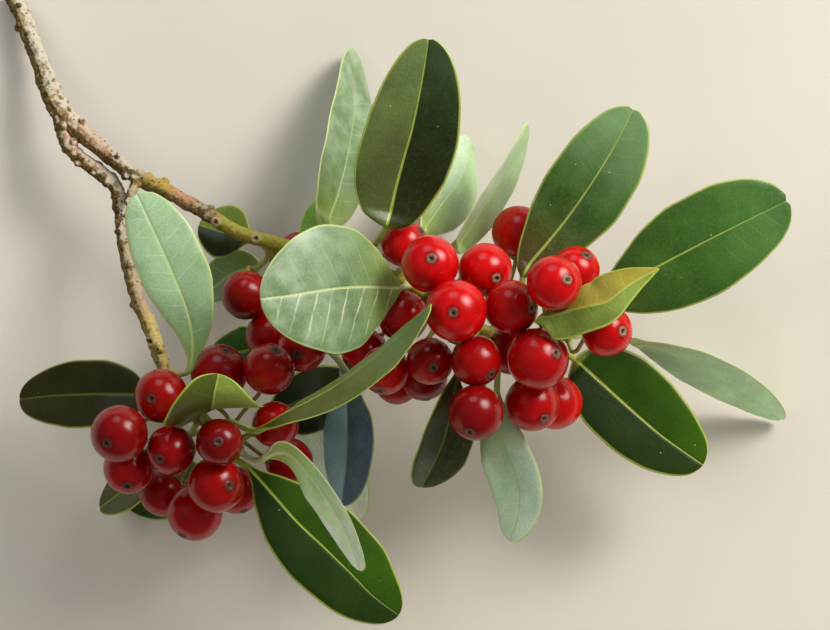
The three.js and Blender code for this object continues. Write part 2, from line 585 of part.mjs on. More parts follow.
function buildHollyBranch() {
  const axes = Object.fromEntries(
    Object.entries(SHOOTS).map(([name, stations]) => [name, shootAxis(stations)])
  );
  const whole = new THREE.Group();
  const branch = new THREE.Mesh(branchGeometry(axes), new THREE.MeshStandardMaterial(BARK));
  branch.name = 'branch';
  whole.add(branch);

  const leaves = new THREE.Group();
  const balls = Object.values(axes)
    .flatMap(closePlaces)
    .map(({ point, radius }) => ({ centre: point, radius }));
  for (const leaf of LEAVES) {
    const form = leafForm(leaf, axes[leaf.shoot]);
    balls.push(...leafBalls(form));
    leaves.add(seatedMesh(leaf.name, form, LEAF));
  }
  whole.add(leaves);

  const drupes = new THREE.Group();
  const fruits = DRUPES.map((drupe) => {
    const centre = sighted(drupe.at);
    const apex = apexDirection(drupe.apex);
    return { ...drupe, centre, apex, ball: { centre, radius: drupe.radius } };
  });
  for (const fruit of fruits) {
    const { centre, apex, radius } = fruit;
    const others = fruits.filter((other) => other !== fruit).map((other) => other.ball);
    const curve = stalkCurve(axes[fruit.shoot], fruit, [...balls, ...others]);
    for (const point of curve.getPoints(STALK_CHECKS)) {
      balls.push({ centre: point, radius: STALK_RADIUS });
    }
    drupes.add(seatedMesh(fruit.name, drupeForm(centre, apex, radius, curve), DRUPE));
  }
  whole.add(drupes);

  // The origin is on the table, under the middle of the branch.
  const box = new THREE.Box3().setFromObject(whole, true);
  const middle = box.getCenter(new THREE.Vector3());
  whole.position.set(-middle.x, -middle.y, -box.min.z);
  const placed = new THREE.Group();
  placed.add(whole);
  return placed;
}

export default buildHollyBranch();
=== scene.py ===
"""Looks of a cut branch of Canary Island holly: waxy leaves, glossy drupes and lichened bark.

Each leaf and drupe is a smooth mesh made from the rings of its CAD solid, and the bark is the
CAD branch with knobs and buds, roughened. Lengths are in millimetres, unless a comment says
otherwise.
"""

import bpy
import numpy as np
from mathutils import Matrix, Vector, noise
from mathutils.bvhtree import BVHTree


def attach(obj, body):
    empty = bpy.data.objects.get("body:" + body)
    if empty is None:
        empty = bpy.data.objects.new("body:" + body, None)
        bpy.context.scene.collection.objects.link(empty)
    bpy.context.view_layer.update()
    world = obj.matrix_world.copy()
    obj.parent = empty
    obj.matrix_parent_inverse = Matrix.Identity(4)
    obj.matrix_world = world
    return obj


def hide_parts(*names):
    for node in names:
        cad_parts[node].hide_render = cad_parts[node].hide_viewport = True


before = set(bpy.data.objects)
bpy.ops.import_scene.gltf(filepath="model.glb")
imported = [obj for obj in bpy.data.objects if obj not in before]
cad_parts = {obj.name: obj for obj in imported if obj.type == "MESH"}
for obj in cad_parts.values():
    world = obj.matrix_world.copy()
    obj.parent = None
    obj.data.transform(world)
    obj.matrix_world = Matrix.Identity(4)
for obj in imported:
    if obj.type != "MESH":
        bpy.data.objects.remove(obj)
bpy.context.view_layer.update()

MM = 0.001

# Camera: an eye straight above the branch. The photograph is 830 pixels wide and shows 6 of
# them per millimetre at the middle depth of the branch.
EYE = np.array([3.585, -2.487, 599.838])
FOCUS_DISTANCE = 570
PHOTO_WIDTH = 830
PIXELS_PER_MM = 6
SENSOR = 36
NEAR_CLIP_METRES = 0.01

# Studio: name, place and size in metres, watts and colour of each light, and if gloss shows it
LIGHTS = [
    ("sun_box", (0.54, 0.48, 0.52), 0.62, 5.4, (1, 0.96, 0.9), True),
    ("sun_core", (0.54, 0.48, 0.52), 0.28, 4.4, (1, 0.96, 0.9), True),
    ("sky_box", (-0.45, 0.2, 0.65), 0.6, 1.5, (0.96, 0.98, 1), False),
    ("sky_gleam", (-0.12, 0.85, 0.5), 0.5, 1.3, (0.8, 0.9, 1), True),
    ("low_fill", (0.1, -0.6, 0.4), 0.5, 1.3, (1, 0.88, 0.72), False),
]
WORLD_COLOUR = (0.95, 0.97, 1, 1)
WORLD_STRENGTH = 0.11
TABLE_REACH_METRES = 3

# Rings of the lofted solids in the frame. BROAD_RING crosses the broad part of a blade, and
# the widest ring of a drupe is this many degrees from its scar.
SIDES = 8
PETIOLE_RINGS = 4
BROAD_RING = 7
STALK_RINGS = 5
WIDEST_RING_ANGLE = 80

# Leaf mesh. Steps crowd towards both ends of a blade, and towards its midrib and margins: 0 is
# even, 1 is the most.
PETIOLE_STEPS = 16
BLADE_STEPS = 84
HALF_STEPS = 16
END_CROWDING = 0.7
MARGIN_CROWDING = 0.72
BLADE_THICKNESS = 0.42
LEAST_PETIOLE = 0.3
KEEL_AT_PETIOLE = 0.42
KEEL_AT_TIP = 0.08
KEEL_REACH = 0.45
GROOVE_DEPTH = 0.1
GROOVE_REACH = 0.22
NOTCH_REACH = 0.5
NOTCH_LENGTH = 1.6

# Unevenness of a leaf. The crease, the outline's wave and the start of the margin's roll are
# shares of the half width.
SOFT_CREASE = 0.06
OUTLINE_WAVE = 0.025
MARGIN_WAVE = 0.22
FACE_WAVE = 0.05
WAVE_LENGTHS = (6, 5, 3)
WAVES_ACROSS = 1.2
MARGIN_ROLL = 0.1
ROLL_START = 0.88

# Lateral veins: how far apart they leave the midrib, how far forward they slant, how much
# noise moves them, and how much lighter than the skin they are
VEIN_STEP = 3.1
VEIN_SLANT = 0.44
BROAD_WANDER = 2
FINE_WANDER = 0.1
VEIN_LIGHTNESS = 1.8

# The end of a petiole or stalk in the bark
FOOT_REACH = 0.7
FOOT_FLARE = 0.6
FOOT_DEPTH = 0.5

# Drupe mesh: distances of rings from the scar, then angles in degrees for the rest of the skin
SCAR_ROWS = [0.1, 0.2, 0.3, 0.4, 0.5, 0.6, 0.7, 0.8, 0.92, 1.08, 1.3, 1.6]
SKIN_STEP = 6
LAST_SKIN_ANGLE = 176
DRUPE_COLUMNS = 48
PIT_DEPTH = 0.3
SKIN_LUMPS = 0.09
STALK_COLUMNS = 16
STALK_STEPS = 22
STALK_RADIUS = 0.36
STALK_SWELLING = 0.16
SWELLING_REACH = 0.9
STALK_RIDGES = 5
RIDGE_HEIGHT = 0.04
FOOT_IN_FRUIT = 0.35
HIDDEN_STALK_KNOTS = 7
HIDDEN_STALK_PULL = 0.35

# The calyx, a star on the fruit: how far out and how high each of its rings lies
CALYX_COLUMNS = 32
CALYX_LOBES = 4
LOBE_LENGTH = 0.45
CALYX_RINGS = ((0.2, -0.16), (0.7, -0.02), (1.05, 0.05), (1.07, 0.13), (0.7, 0.2), (0.2, 0.14))

# Round marks, as humps and dents: height, reach, and distance from the middle of the mark
DRUPE_SCAR_RELIEF = ((-0.14, 1.3, 0), (0.1, 0.17, 0.6), (-0.16, 0.3, 0))
STALK_END_RELIEF = ((-0.4, 1.3, 0),)
LEAF_SCAR_RELIEF = ((0.14, 0.25, 0.6), (-0.2, 0.35, 0))

# Bark mesh. Knobs and buds grow on the old wood, left of and above this place as the eye sees it.
VOXEL = 0.2
SMOOTHING_PASSES = 3
KNOBS = 40
BUDS = 26
LUMP_SEED = 5
KNOB_ROWS = 6
KNOB_COLUMNS = 10
KNOB_RADII = (0.45, 0.85)
BUD_RADII = (0.28, 0.42)
FOOT_RADIUS = 0.72
OLD_WOOD_EDGE = (-33, -11)

# Rough bark: size of the noise, then its height on young and on old wood
FINE_BARK = (1.1, 0.05, 0.25)
BROAD_BARK = (2.4, 0.05, 0.3)

# The cut end: how deep and how wide it stays flat, and how deep and wide the wood shows
FLAT_DEPTH = 0.35
FLAT_RADIUS = 1.8
WOOD_DEPTH = 0.2
WOOD_RADIUS = 1.12
WOOD_RINGS = 26

# A distance from a scar at which nothing of it shows
FAR_AWAY = 9


def tone(red, green, blue):
    """A colour in shader values, from one in 0 to 255 as a screen shows it."""
    shown = np.array([red, green, blue]) / 255
    return np.where(shown <= 0.04045, shown / 12.92, ((shown + 0.055) / 1.055) ** 2.4)


# Leaf tones
DEEP = tone(47, 80, 5)
DARK = tone(34, 46, 10)
SOOTY = tone(42, 43, 4)
DIM = tone(31, 52, 7)
SHEEN = tone(88, 104, 52)
FRESH = tone(55, 94, 28)
LIT = tone(90, 116, 52)
# Painted reflection: the pale tones here, all but VIVID, stand mostly for the sky's sheen on glossy
# leaves
PALE = tone(102, 130, 84)
PALER = tone(150, 184, 126)
MISTY = tone(140, 172, 126)
VIVID = tone(170, 228, 108)
MINT = tone(182, 230, 172)
PALEST = tone(180, 210, 170)
SKY_SHEEN_GREEN = tone(198, 226, 194)
MILKY = tone(236, 250, 228)
# Painted light: a shaded blue green and a sky-lit blue, for the two halves of side_leaf_01
SHADED_SKY_BLUE = tone(72, 104, 132)
SKYLIT = tone(148, 194, 206)
OLIVE = tone(72, 80, 22)
YOUNG = tone(134, 156, 40)
BELOW = tone(140, 150, 66)
SPRING = tone(124, 146, 60)
STRAW = tone(152, 140, 40)

# Tones of what shows on or in the leaf skin
LEAF_BASE_BROWN = tone(70, 56, 22)
# A pale leaf tip: a painted sheen
LEAF_TIP_SHEEN = tone(150, 190, 130)
# The wax tones, and those of waxy veins and a waxy rib, stand partly for the sky's sheen: painted
# reflection
WAX_SHEEN = tone(196, 212, 186)
SHEEN_VEIN = tone(226, 234, 206)
DUST = tone(176, 184, 146)
DOT = tone(222, 228, 210)
RIB_TONES = (tone(140, 164, 44), tone(192, 204, 96))
SHEEN_RIB = tone(216, 226, 178)

# Each leaf has the tones of its left and right halves above, seen from the petiole, then how
# bright its midrib and margin are, how clear its veins are, perhaps on each half, and how thick
# its pale wax is. The halves of upper_leaf_01 and of side_leaf_01 are a painted lit half and a
# painted shaded half, and the clearer veins on one half of upper_leaf_12 are a painted gleam.
LEAF_LOOKS = {
    "upper_leaf_01": (SHEEN, DARK, 0.9, 0.15, 0.02),
    "upper_leaf_02": (PALE, PALE, 0.6, 0.2, 0.5),
    "upper_leaf_03": (PALEST, PALER, 0.7, 0.12, 0.6),
    "upper_leaf_04": (PALEST, PALER, 0.6, 0.12, 0.5),
    "upper_leaf_05": (FRESH, FRESH, 0.9, 0.2, 0.09),
    "upper_leaf_06": (FRESH, FRESH, 0.8, 0.3, 0.02),
    "upper_leaf_07": (SPRING, STRAW, 0.4, 0.4, 0),
    "upper_leaf_08": (DEEP, DIM, 1, 0.1, 0),
    "upper_leaf_09": (MINT, MINT, 0.5, 0.1, 0.5),
    "upper_leaf_10": (DARK, DARK, 0.3, 0.1, 0.04),
    "upper_leaf_11": (SKY_SHEEN_GREEN, PALEST, 0.7, 0.3, 0.5),
    "upper_leaf_12": (PALE, PALE, 1, (1, 0.2), 0.5),
    "lower_leaf_01": (OLIVE, LIT, 0.7, 0.25, 0.04),
    "lower_leaf_02": (DARK, DARK, 0.4, 0.1, 0),
    "lower_leaf_03": (MISTY, MISTY, 0.9, 0.35, 0.4),
    "lower_leaf_04": (SOOTY, SOOTY, 0.2, 0.12, 0),
    "lower_leaf_05": (OLIVE, SPRING, 1, 0.5, 0),
    "lower_leaf_06": (DEEP, DIM, 0.9, 0.15, 0),
    "lower_leaf_07": (VIVID, VIVID, 0.9, 0.1, 0.9),
    "lower_leaf_08": (OLIVE, OLIVE, 0.6, 0.3, 0),
    "lower_leaf_09": (DEEP, DEEP, 0.4, 0.3, 0.2),
    "side_leaf_01": (SHADED_SKY_BLUE, SKYLIT, 0.3, 0.15, 0.2),
    "side_leaf_02": (MILKY, MILKY, 0.5, 0.3, 0.5),
    "side_leaf_03": (FRESH, FRESH, 0.6, 0.3, 0),
    "middle_leaf_01": (DARK, SPRING, 0.3, 0.2, 0),
    "middle_leaf_02": (PALE, PALE, 0.5, 0.3, 0.3),
    "middle_leaf_03": (VIVID, VIVID, 0.7, 0.3, 0),
}
UNDERSIDE_UP = {"upper_leaf_07", "lower_leaf_01"}

# Depth of the notch at the tip
NOTCHED = {"upper_leaf_06": 0.5, "upper_leaf_09": 0.4, "upper_leaf_05": 0.3, "upper_leaf_01": 0.25}

# Drupe tones, and which drupes are brighter, darker or have a paler scar than the others. The
# brighter red is painted sunlight, and the darker reds are painted shade, on the lower bunch and
# under leaves
SUNLIT_RED = tone(204, 8, 8)
RIPE = tone(186, 8, 7)
CRIMSON = tone(164, 6, 6)
LOWER_SHADE_RED = tone(142, 5, 5)
SHADED_RED = tone(112, 4, 5)
SUNLIT_DRUPES = {1, 2, 3, 4, 6, 7, 8, 13, 15}
SHADED_DRUPES = {"lower_berry_02", "lower_berry_07", "upper_berry_11"}
PALE_SCARS = {"upper_berry_02", "upper_berry_06", "upper_berry_08"}

# Tones of what shows on the fruit and its stalk
OVERRIPE = tone(122, 3, 5)
NEAR_STALK = tone(206, 44, 14)
FLECK = tone(236, 120, 84)
SCAR_RING = tone(80, 14, 10)
PALE_SCAB = (tone(110, 72, 54), tone(190, 152, 120))
DARK_SCAB = (tone(46, 18, 14), tone(86, 42, 32))
SCAR_PIT = tone(28, 16, 12)
STALK_GREENS = (tone(118, 128, 44), tone(168, 160, 74))
STALK_BLUSH = tone(142, 84, 52)
STALK_CORK = tone(92, 74, 48)

# Half hidden drupes: centre as seen from the eye, with its height, then the radius and the
# direction of the scar.
HIDDEN_DRUPES = {
    "hidden_berry_01": ([-3, -11, 19.5], 4, [0.2, -0.8, -0.4]),
    "hidden_berry_02": ([1.5, -10.4, 24], 4, [0.1, -0.9, 0.2]),
    "hidden_berry_03": ([16.2, -5.8, 29.5], 4.2, [0.2, -0.4, 0.8]),
    "hidden_berry_04": ([-19.4, 10.2, 9.6], 3.8, [-0.2, 0.9, -0.3]),
    "hidden_berry_05": ([-8.3, -6.2, 22], 4, [-0.6, -0.6, 0.4]),
    "hidden_berry_06": ([-29.8, -29.2, 21], 4.1, [0.3, -0.8, 0.3]),
}

# Bark tones along the shoots: place as seen from the eye, tone, and age from 0, young, to 1
LICHEN_GREY = tone(186, 172, 140)
TAN = tone(160, 134, 88)
ROSY = tone(190, 142, 104)
GOLDEN = tone(180, 152, 56)
CREAM = tone(212, 188, 108)
GREEN_BARK = tone(162, 158, 44)
DUSKY = tone(92, 76, 50)
BARK_TONES = [
    ([-67.2, 53.5], LICHEN_GREY, 1), ([-62.9, 43], LICHEN_GREY, 1), ([-59.7, 34.7], TAN, 1),
    ([-53.7, 28.7], ROSY, 0.8), ([-56.2, 26.4], ROSY, 0.9), ([-48.5, 24.5], DUSKY, 0.9),
    ([-43, 21.5], GOLDEN, 0.6), ([-38.6, 19.2], ROSY, 0.5), ([-36.2, 17.2], DUSKY, 0.8),
    ([-31, 14.5], GREEN_BARK, 0.25), ([-24, 12.3], GREEN_BARK, 0.15), ([-5, 6], GREEN_BARK, 0.1),
    ([22, -3.8], GREEN_BARK, 0), ([-49, 16.7], DUSKY, 0.9), ([-47, 5], TAN, 0.75),
    ([-43.8, -4], CREAM, 0.65), ([-41.5, -9], CREAM, 0.55), ([-38.3, -14.2], GREEN_BARK, 0.3),
    ([-29.2, -22], GREEN_BARK, 0.1), ([-20, 0], GREEN_BARK, 0.2),
]

# The direction that the sun lights shine from, which the bark's lichen faces and its painted
# shade and moss turn from, and the round scars of fallen leaves as the eye sees them
LIGHT_SIDE = [0.775, 0.533, 0.339]
LEAF_SCARS = [[-33.2, 15.5], [-26.5, 12.8], [-44.2, -4.4]]

# Middle of the cut end and the next point on the wood's axis, as seen from the eye, with heights
CUT_END = [-67.2, 53.5, 1.4]
CUT_NEXT = [-64.7, 48, 3.2]

# Tones of what shows on the bark and the cut wood, and of the table
GRIME = tone(98, 74, 40)
WARM_BARK = tone(190, 124, 82)
SUNNY_BARK = tone(186, 150, 48)
# Dark moss tones, which also paint the shade on the bark's side away from the light
MOSS_AND_SHADE_TONES = (tone(44, 32, 12), tone(126, 102, 34))
LICHEN_TONES = (tone(164, 152, 124), tone(236, 228, 210))
BARK_PIT = tone(58, 44, 24)
BUD = tone(54, 40, 24)
LEAF_SCAR_RIM = tone(196, 168, 128)
LEAF_SCAR_PIT = tone(50, 34, 20)
WOOD_TONES = (tone(214, 190, 142), tone(186, 154, 104))
TABLE_TONES = (tone(214, 208, 196), tone(220, 215, 204))


def sighted(x, y, z):
    """The real place of a point given as the eye sees it."""
    scale = (EYE[2] - z) / FOCUS_DISTANCE
    return np.array([x * scale + EYE[0], y * scale + EYE[1], z])


def seen_as(points):
    """Where the eye sees points, in millimetres at the middle depth."""
    scale = (EYE[2] - points[:, 2]) / FOCUS_DISTANCE
    return (points[:, :2] - EYE[:2]) / scale[:, None]


def unit(vectors):
    return vectors / np.linalg.norm(vectors, axis=-1, keepdims=True)


def ease(value, low, high):
    """0 at low and 1 at high, with a smooth rise between them."""
    share = np.clip((np.asarray(value, float) - low) / (high - low), 0, 1)
    return share * share * (3 - 2 * share)


def mixed(one, other, share):
    return one + (other - one) * share


def hump(value, reach, middle=0):
    """1 at middle, and next to nothing from two reaches away."""
    return np.exp(-(((value - middle) / reach) ** 2))


def crowded(steps, crowding):
    """Shares from 0 to 1 that crowd towards both ends."""
    share = np.linspace(0, 1, steps + 1)
    return share - crowding * np.sin(2 * np.pi * share) / (2 * np.pi)


def relief(distance, humps):
    """Height of a round mark at a distance from its middle."""
    return sum(height * hump(distance, reach, middle) for height, reach, middle in humps)


def circle(count):
    """Angles evenly round a circle."""
    return np.linspace(0, 2 * np.pi, count, endpoint=False)


def around(way, side, angles):
    """Directions square to a way, at these angles from side."""
    other = np.cross(way, side)
    return side * np.cos(angles)[:, None] + other * np.sin(angles)[:, None]


def hermite(knots, values, slopes, at):
    """A cubic curve through values at knots, with these slopes there."""
    index = np.clip(np.searchsorted(knots, at, side="right") - 1, 0, len(knots) - 2)
    shape = (-1,) + (1,) * (values.ndim - 1)
    gap = (knots[index + 1] - knots[index]).reshape(shape)
    t = (at - knots[index]).reshape(shape) / gap
    return (
        (2 * t**3 - 3 * t**2 + 1) * values[index]
        + (t**3 - 2 * t**2 + t) * gap * slopes[index]
        + (3 * t**2 - 2 * t**3) * values[index + 1]
        + (t**3 - t**2) * gap * slopes[index + 1]
    )


def smooth_through(knots, values, at):
    return hermite(knots, values, np.gradient(values, knots, axis=0), at)


def steady_through(knots, values, at):
    """Like smooth_through for single numbers, but never past its neighbouring values."""
    rises = np.diff(values) / np.diff(knots)
    slopes = np.concatenate([rises[:1], np.zeros(len(rises) - 1), rises[-1:]])
    for i, (before, after) in enumerate(zip(rises[:-1], rises[1:]), start=1):
        if before * after > 0:
            slopes[i] = 2 * before * after / (before + after)
    return hermite(knots, values, slopes, at)


def lengths_along(points):
    return np.concatenate([[0], np.cumsum(np.linalg.norm(np.diff(points, axis=0), axis=1))])


def vectors_of(mesh, label):
    """The place or the normal of every point of a mesh, as rows."""
    values = np.zeros(len(mesh.vertices) * 3)
    mesh.vertices.foreach_get(label, values)
    return values.reshape(-1, 3)


def levels_from(pole, near):
    """Sets of points that are ever more edges away from a pole."""
    levels = [{pole}]
    seen = {pole}
    while levels[-1]:
        further = set().union(*(near[i] for i in levels[-1])) - seen
        levels.append(further)
        seen |= further
    return levels[:-1]


def loft_of(node):
    """Rings of a lofted CAD solid from its thin end on, and the tip at its other end."""
    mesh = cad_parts[node].data
    corners = np.round(vectors_of(mesh, "co") / MM, 3)
    places, index = np.unique(corners, axis=0, return_inverse=True)
    index = index.reshape(-1)
    faces = [[index[i] for i in polygon.vertices] for polygon in mesh.polygons]
    near = [set() for _ in places]
    for face in faces:
        for corner in face:
            near[corner].update(face)
    poles = [i for i, links in enumerate(near) if len(links) == SIDES + 1]

    def width(levels):
        ring = places[sorted(levels[3])]
        return np.linalg.norm(ring - ring.mean(axis=0), axis=1).mean()

    # The thin end is the petiole or stalk
    levels = min((levels_from(pole, near) for pole in poles), key=width)
    base = min(levels[0])
    following = {}
    for face in faces:
        if base in face:
            turn = face.index(base)
            following[face[(turn + 2) % 3]] = face[(turn + 1) % 3]
    ring = [min(levels[1])]
    while len(ring) < SIDES:
        ring.append(following[ring[-1]])
    rings = [ring]
    for level in levels[2:-1]:
        last = rings[-1]
        rings.append([(near[last[k]] & near[last[k - 1]] & level).pop() for k in range(SIDES)])
    return places[np.array(rings)], places[min(levels[-1])]


def ring_faces(rings, sides):
    """Faces of a skin over rings whose points follow one another, with a pole at each end."""
    start = rings * sides
    faces = []
    for side in range(sides):
        after = (side + 1) % sides
        faces.append((start, after, side))
        faces.append((start + 1, start - sides + side, start - sides + after))
        for ring in range(rings - 1):
            here = ring * sides
            there = here + sides
            faces.append((here + side, here + after, there + after, there + side))
    return faces


def closed(grid, start, end):
    """Values on rings in one list, followed by those at the two poles."""
    return np.vstack([grid.reshape(-1, grid.shape[-1]), start, end])


def joined(parts):
    """Points and faces of several meshes as those of one."""
    points, faces = [], []
    for part, part_faces in parts:
        offset = sum(len(earlier) for earlier in points)
        points.append(part)
        faces.extend(tuple(i + offset for i in face) for face in part_faces)
    return np.vstack(points), faces


def add_object(name, data):
    made = bpy.data.objects.new(name, data)
    bpy.context.scene.collection.objects.link(made)
    return made


def add_mesh(name, points, faces, attributes, materials, slots=None):
    """A smooth object with named values at its points."""
    mesh = bpy.data.meshes.new(name)
    mesh.from_pydata((np.asarray(points) * MM).tolist(), [], faces)
    mesh.polygons.foreach_set("use_smooth", [True] * len(mesh.polygons))
    for material in materials:
        mesh.materials.append(material)
    if slots is not None:
        mesh.polygons.foreach_set("material_index", slots)
    set_attributes(mesh, attributes)
    mesh.update()
    return add_object(name, mesh)


def set_attributes(mesh, attributes):
    for label, values in attributes.items():
        layer = mesh.attributes.new(label, "FLOAT_VECTOR", "POINT")
        layer.data.foreach_set("vector", np.asarray(values, float).reshape(-1))


def settle(piece, slot, *nodes):
    """Puts a finished piece on the object's one body, in place of its CAD nodes."""
    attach(piece, "root")
    if nodes:
        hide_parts(*nodes)


class Shader:
    """A material's nodes, with short names for the kinds used here."""

    def __init__(self, name):
        self.material = bpy.data.materials.new(name)
        self.material.use_nodes = True
        self.tree = self.material.node_tree
        self.surface = self.tree.nodes["Principled BSDF"]

    def node(self, kind, inputs=(), **settings):
        made = self.tree.nodes.new(kind)
        for key, value in settings.items():
            setattr(made, key, value)
        for key, value in dict(inputs).items():
            self.put(made.inputs[key], value)
        return made

    def put(self, socket, value):
        """Links an output to a socket, or sets the socket to a number or a tone."""
        if isinstance(value, bpy.types.NodeSocket):
            self.tree.links.new(value, socket)
        elif isinstance(value, np.ndarray):
            socket.default_value = (*value, 1)
        else:
            socket.default_value = value

    def math(self, operation, *values):
        return self.node("ShaderNodeMath", enumerate(values), operation=operation).outputs[0]

    def product(self, first, *others):
        for other in others:
            first = self.math("MULTIPLY", first, other)
        return first

    def total(self, first, *others):
        for other in others:
            first = self.math("ADD", first, other)
        return first

    def parts(self, label):
        """The three numbers of a named value at the points of the mesh."""
        read = self.node("ShaderNodeAttribute", attribute_name=label)
        split = self.node("ShaderNodeSeparateXYZ", {"Vector": read.outputs["Vector"]})
        return split.outputs

    def tint(self):
        return self.node("ShaderNodeAttribute", attribute_name="tint").outputs["Color"]

    def place(self):
        return self.node("ShaderNodeTexCoord").outputs["Object"]

    def noise(self, size, detail=3, roughness=0.5):
        """Noise from 0 to 1, with features about size wide."""
        inputs = {"Vector": self.place(), "Scale": 1 / (size * MM), "Detail": detail}
        inputs["Roughness"] = roughness
        return self.node("ShaderNodeTexNoise", inputs).outputs[0]

    def cells(self, size, feature="F1"):
        """Cells about size wide."""
        inputs = {"Vector": self.place(), "Scale": 1 / (size * MM)}
        return self.node("ShaderNodeTexVoronoi", inputs, feature=feature).outputs

    def chosen(self, cells, limit):
        """1 in the cells whose random number is above limit, and 0 in the others."""
        split = self.node("ShaderNodeSeparateColor", {"Color": cells["Color"]})
        return self.math("GREATER_THAN", split.outputs[0], limit)

    def between(self, value, low, high, start=0, end=1):
        """value carried smoothly from low..high to start..end, and no further."""
        inputs = {"Value": value, "From Min": low, "From Max": high, "To Min": start, "To Max": end}
        made = self.node("ShaderNodeMapRange", inputs, interpolation_type="SMOOTHSTEP")
        return made.outputs[0]

    def blend(self, share, one, other):
        made = self.node("ShaderNodeMix", data_type="RGBA")
        self.put(made.inputs[0], share)
        self.put(made.inputs[6], one)
        self.put(made.inputs[7], other)
        return made.outputs[2]

    def scaled(self, colour, factor):
        """A colour made lighter or darker."""
        inputs = {"Vector": colour, "Scale": factor}
        return self.node("ShaderNodeVectorMath", inputs, operation="SCALE").outputs[0]

    def bump(self, height, distance):
        inputs = {"Height": height, "Distance": distance * MM}
        return self.node("ShaderNodeBump", inputs).outputs[0]

    def finish(self, **sockets):
        for label, value in sockets.items():
            self.put(self.surface.inputs[label.replace("_", " ")], value)
        return self.material


def vein_lines(s, across, along, veins):
    """Lateral veins: they leave the midrib at a slant, a half step apart on its two sides."""
    wander = s.total(s.product(s.noise(7, 2), BROAD_WANDER), s.product(s.noise(1.6, 2), FINE_WANDER))
    slant = s.math("SUBTRACT", along, s.product(s.math("ABSOLUTE", across), VEIN_SLANT))
    step = s.product(s.math("GREATER_THAN", across, 0), 0.5)
    row = s.total(s.math("DIVIDE", s.total(slant, wander), VEIN_STEP), step)
    off_row = s.math("ABSOLUTE", s.math("SUBTRACT", s.math("FRACT", row), 0.5))
    return s.between(off_row, 0.01, s.between(veins, 0, 1, 0.065, 0.09), 1, 0)


def rib_shine(s, reach, along, edge, ribs):
    """Where the yellow green midrib, margin and petiole are."""
    rib_width = s.between(along, 0, 30, 0.34, 0.12)
    rib = s.between(reach, s.product(rib_width, 0.45), rib_width, 1, 0)
    rib = s.product(rib, s.between(along, 24, 38, 1, 0.4))
    rim = s.between(edge, 0.14, s.between(ribs, 0.8, 1, 0.4, 0.55), 1, 0)
    rim = s.product(rim, s.between(ribs, 0, 0.5, 0.5, 1))
    petiole = s.between(along, -0.5, 1.5, 1, 0)
    return s.math("MAXIMUM", s.math("MAXIMUM", s.product(rib, ribs), rim), petiole)


def with_wax_sheen(s, skin, along, wax_and_sheen):
    """The leaf skin under its pale wax, thickest towards the tip, partly a painted sheen of the sky.
    """
    skin = s.blend(s.product(wax_and_sheen, s.between(along, 0, 13, 1.4, 0)), skin, YOUNG)

    # Leaves with a trace of wax are brownish near the petiole and pale near the tip, a painted sheen
    trace = s.product(s.between(wax_and_sheen, 0, 0.08), s.between(wax_and_sheen, 0.1, 0.2, 1, 0))
    skin = s.blend(s.product(trace, s.between(along, 2, 16, 0.95, 0)), skin, LEAF_BASE_BROWN)
    skin = s.blend(s.product(trace, s.between(along, 17, 31, 0, 0.4)), skin, LEAF_TIP_SHEEN)
    # Patches of pale wax, more of them towards the tip: wax, and partly a painted sheen of the sky
    patches = s.between(s.noise(3, 4), 0.35, 0.7, 0.05, 0.4)
    bloom_sheen = s.product(wax_and_sheen, patches, s.between(along, 5, 26, 0.5, 1.9))
    thick = s.between(wax_and_sheen, 0.6, 0.9)
    # Thickly waxed leaves whiten towards the tip: a painted highlight
    tip_highlight = s.product(thick, s.between(along, 8, 24, 0, 0.5))
    return s.blend(s.total(bloom_sheen, tip_highlight), skin, s.blend(thick, WAX_SHEEN, MILKY))


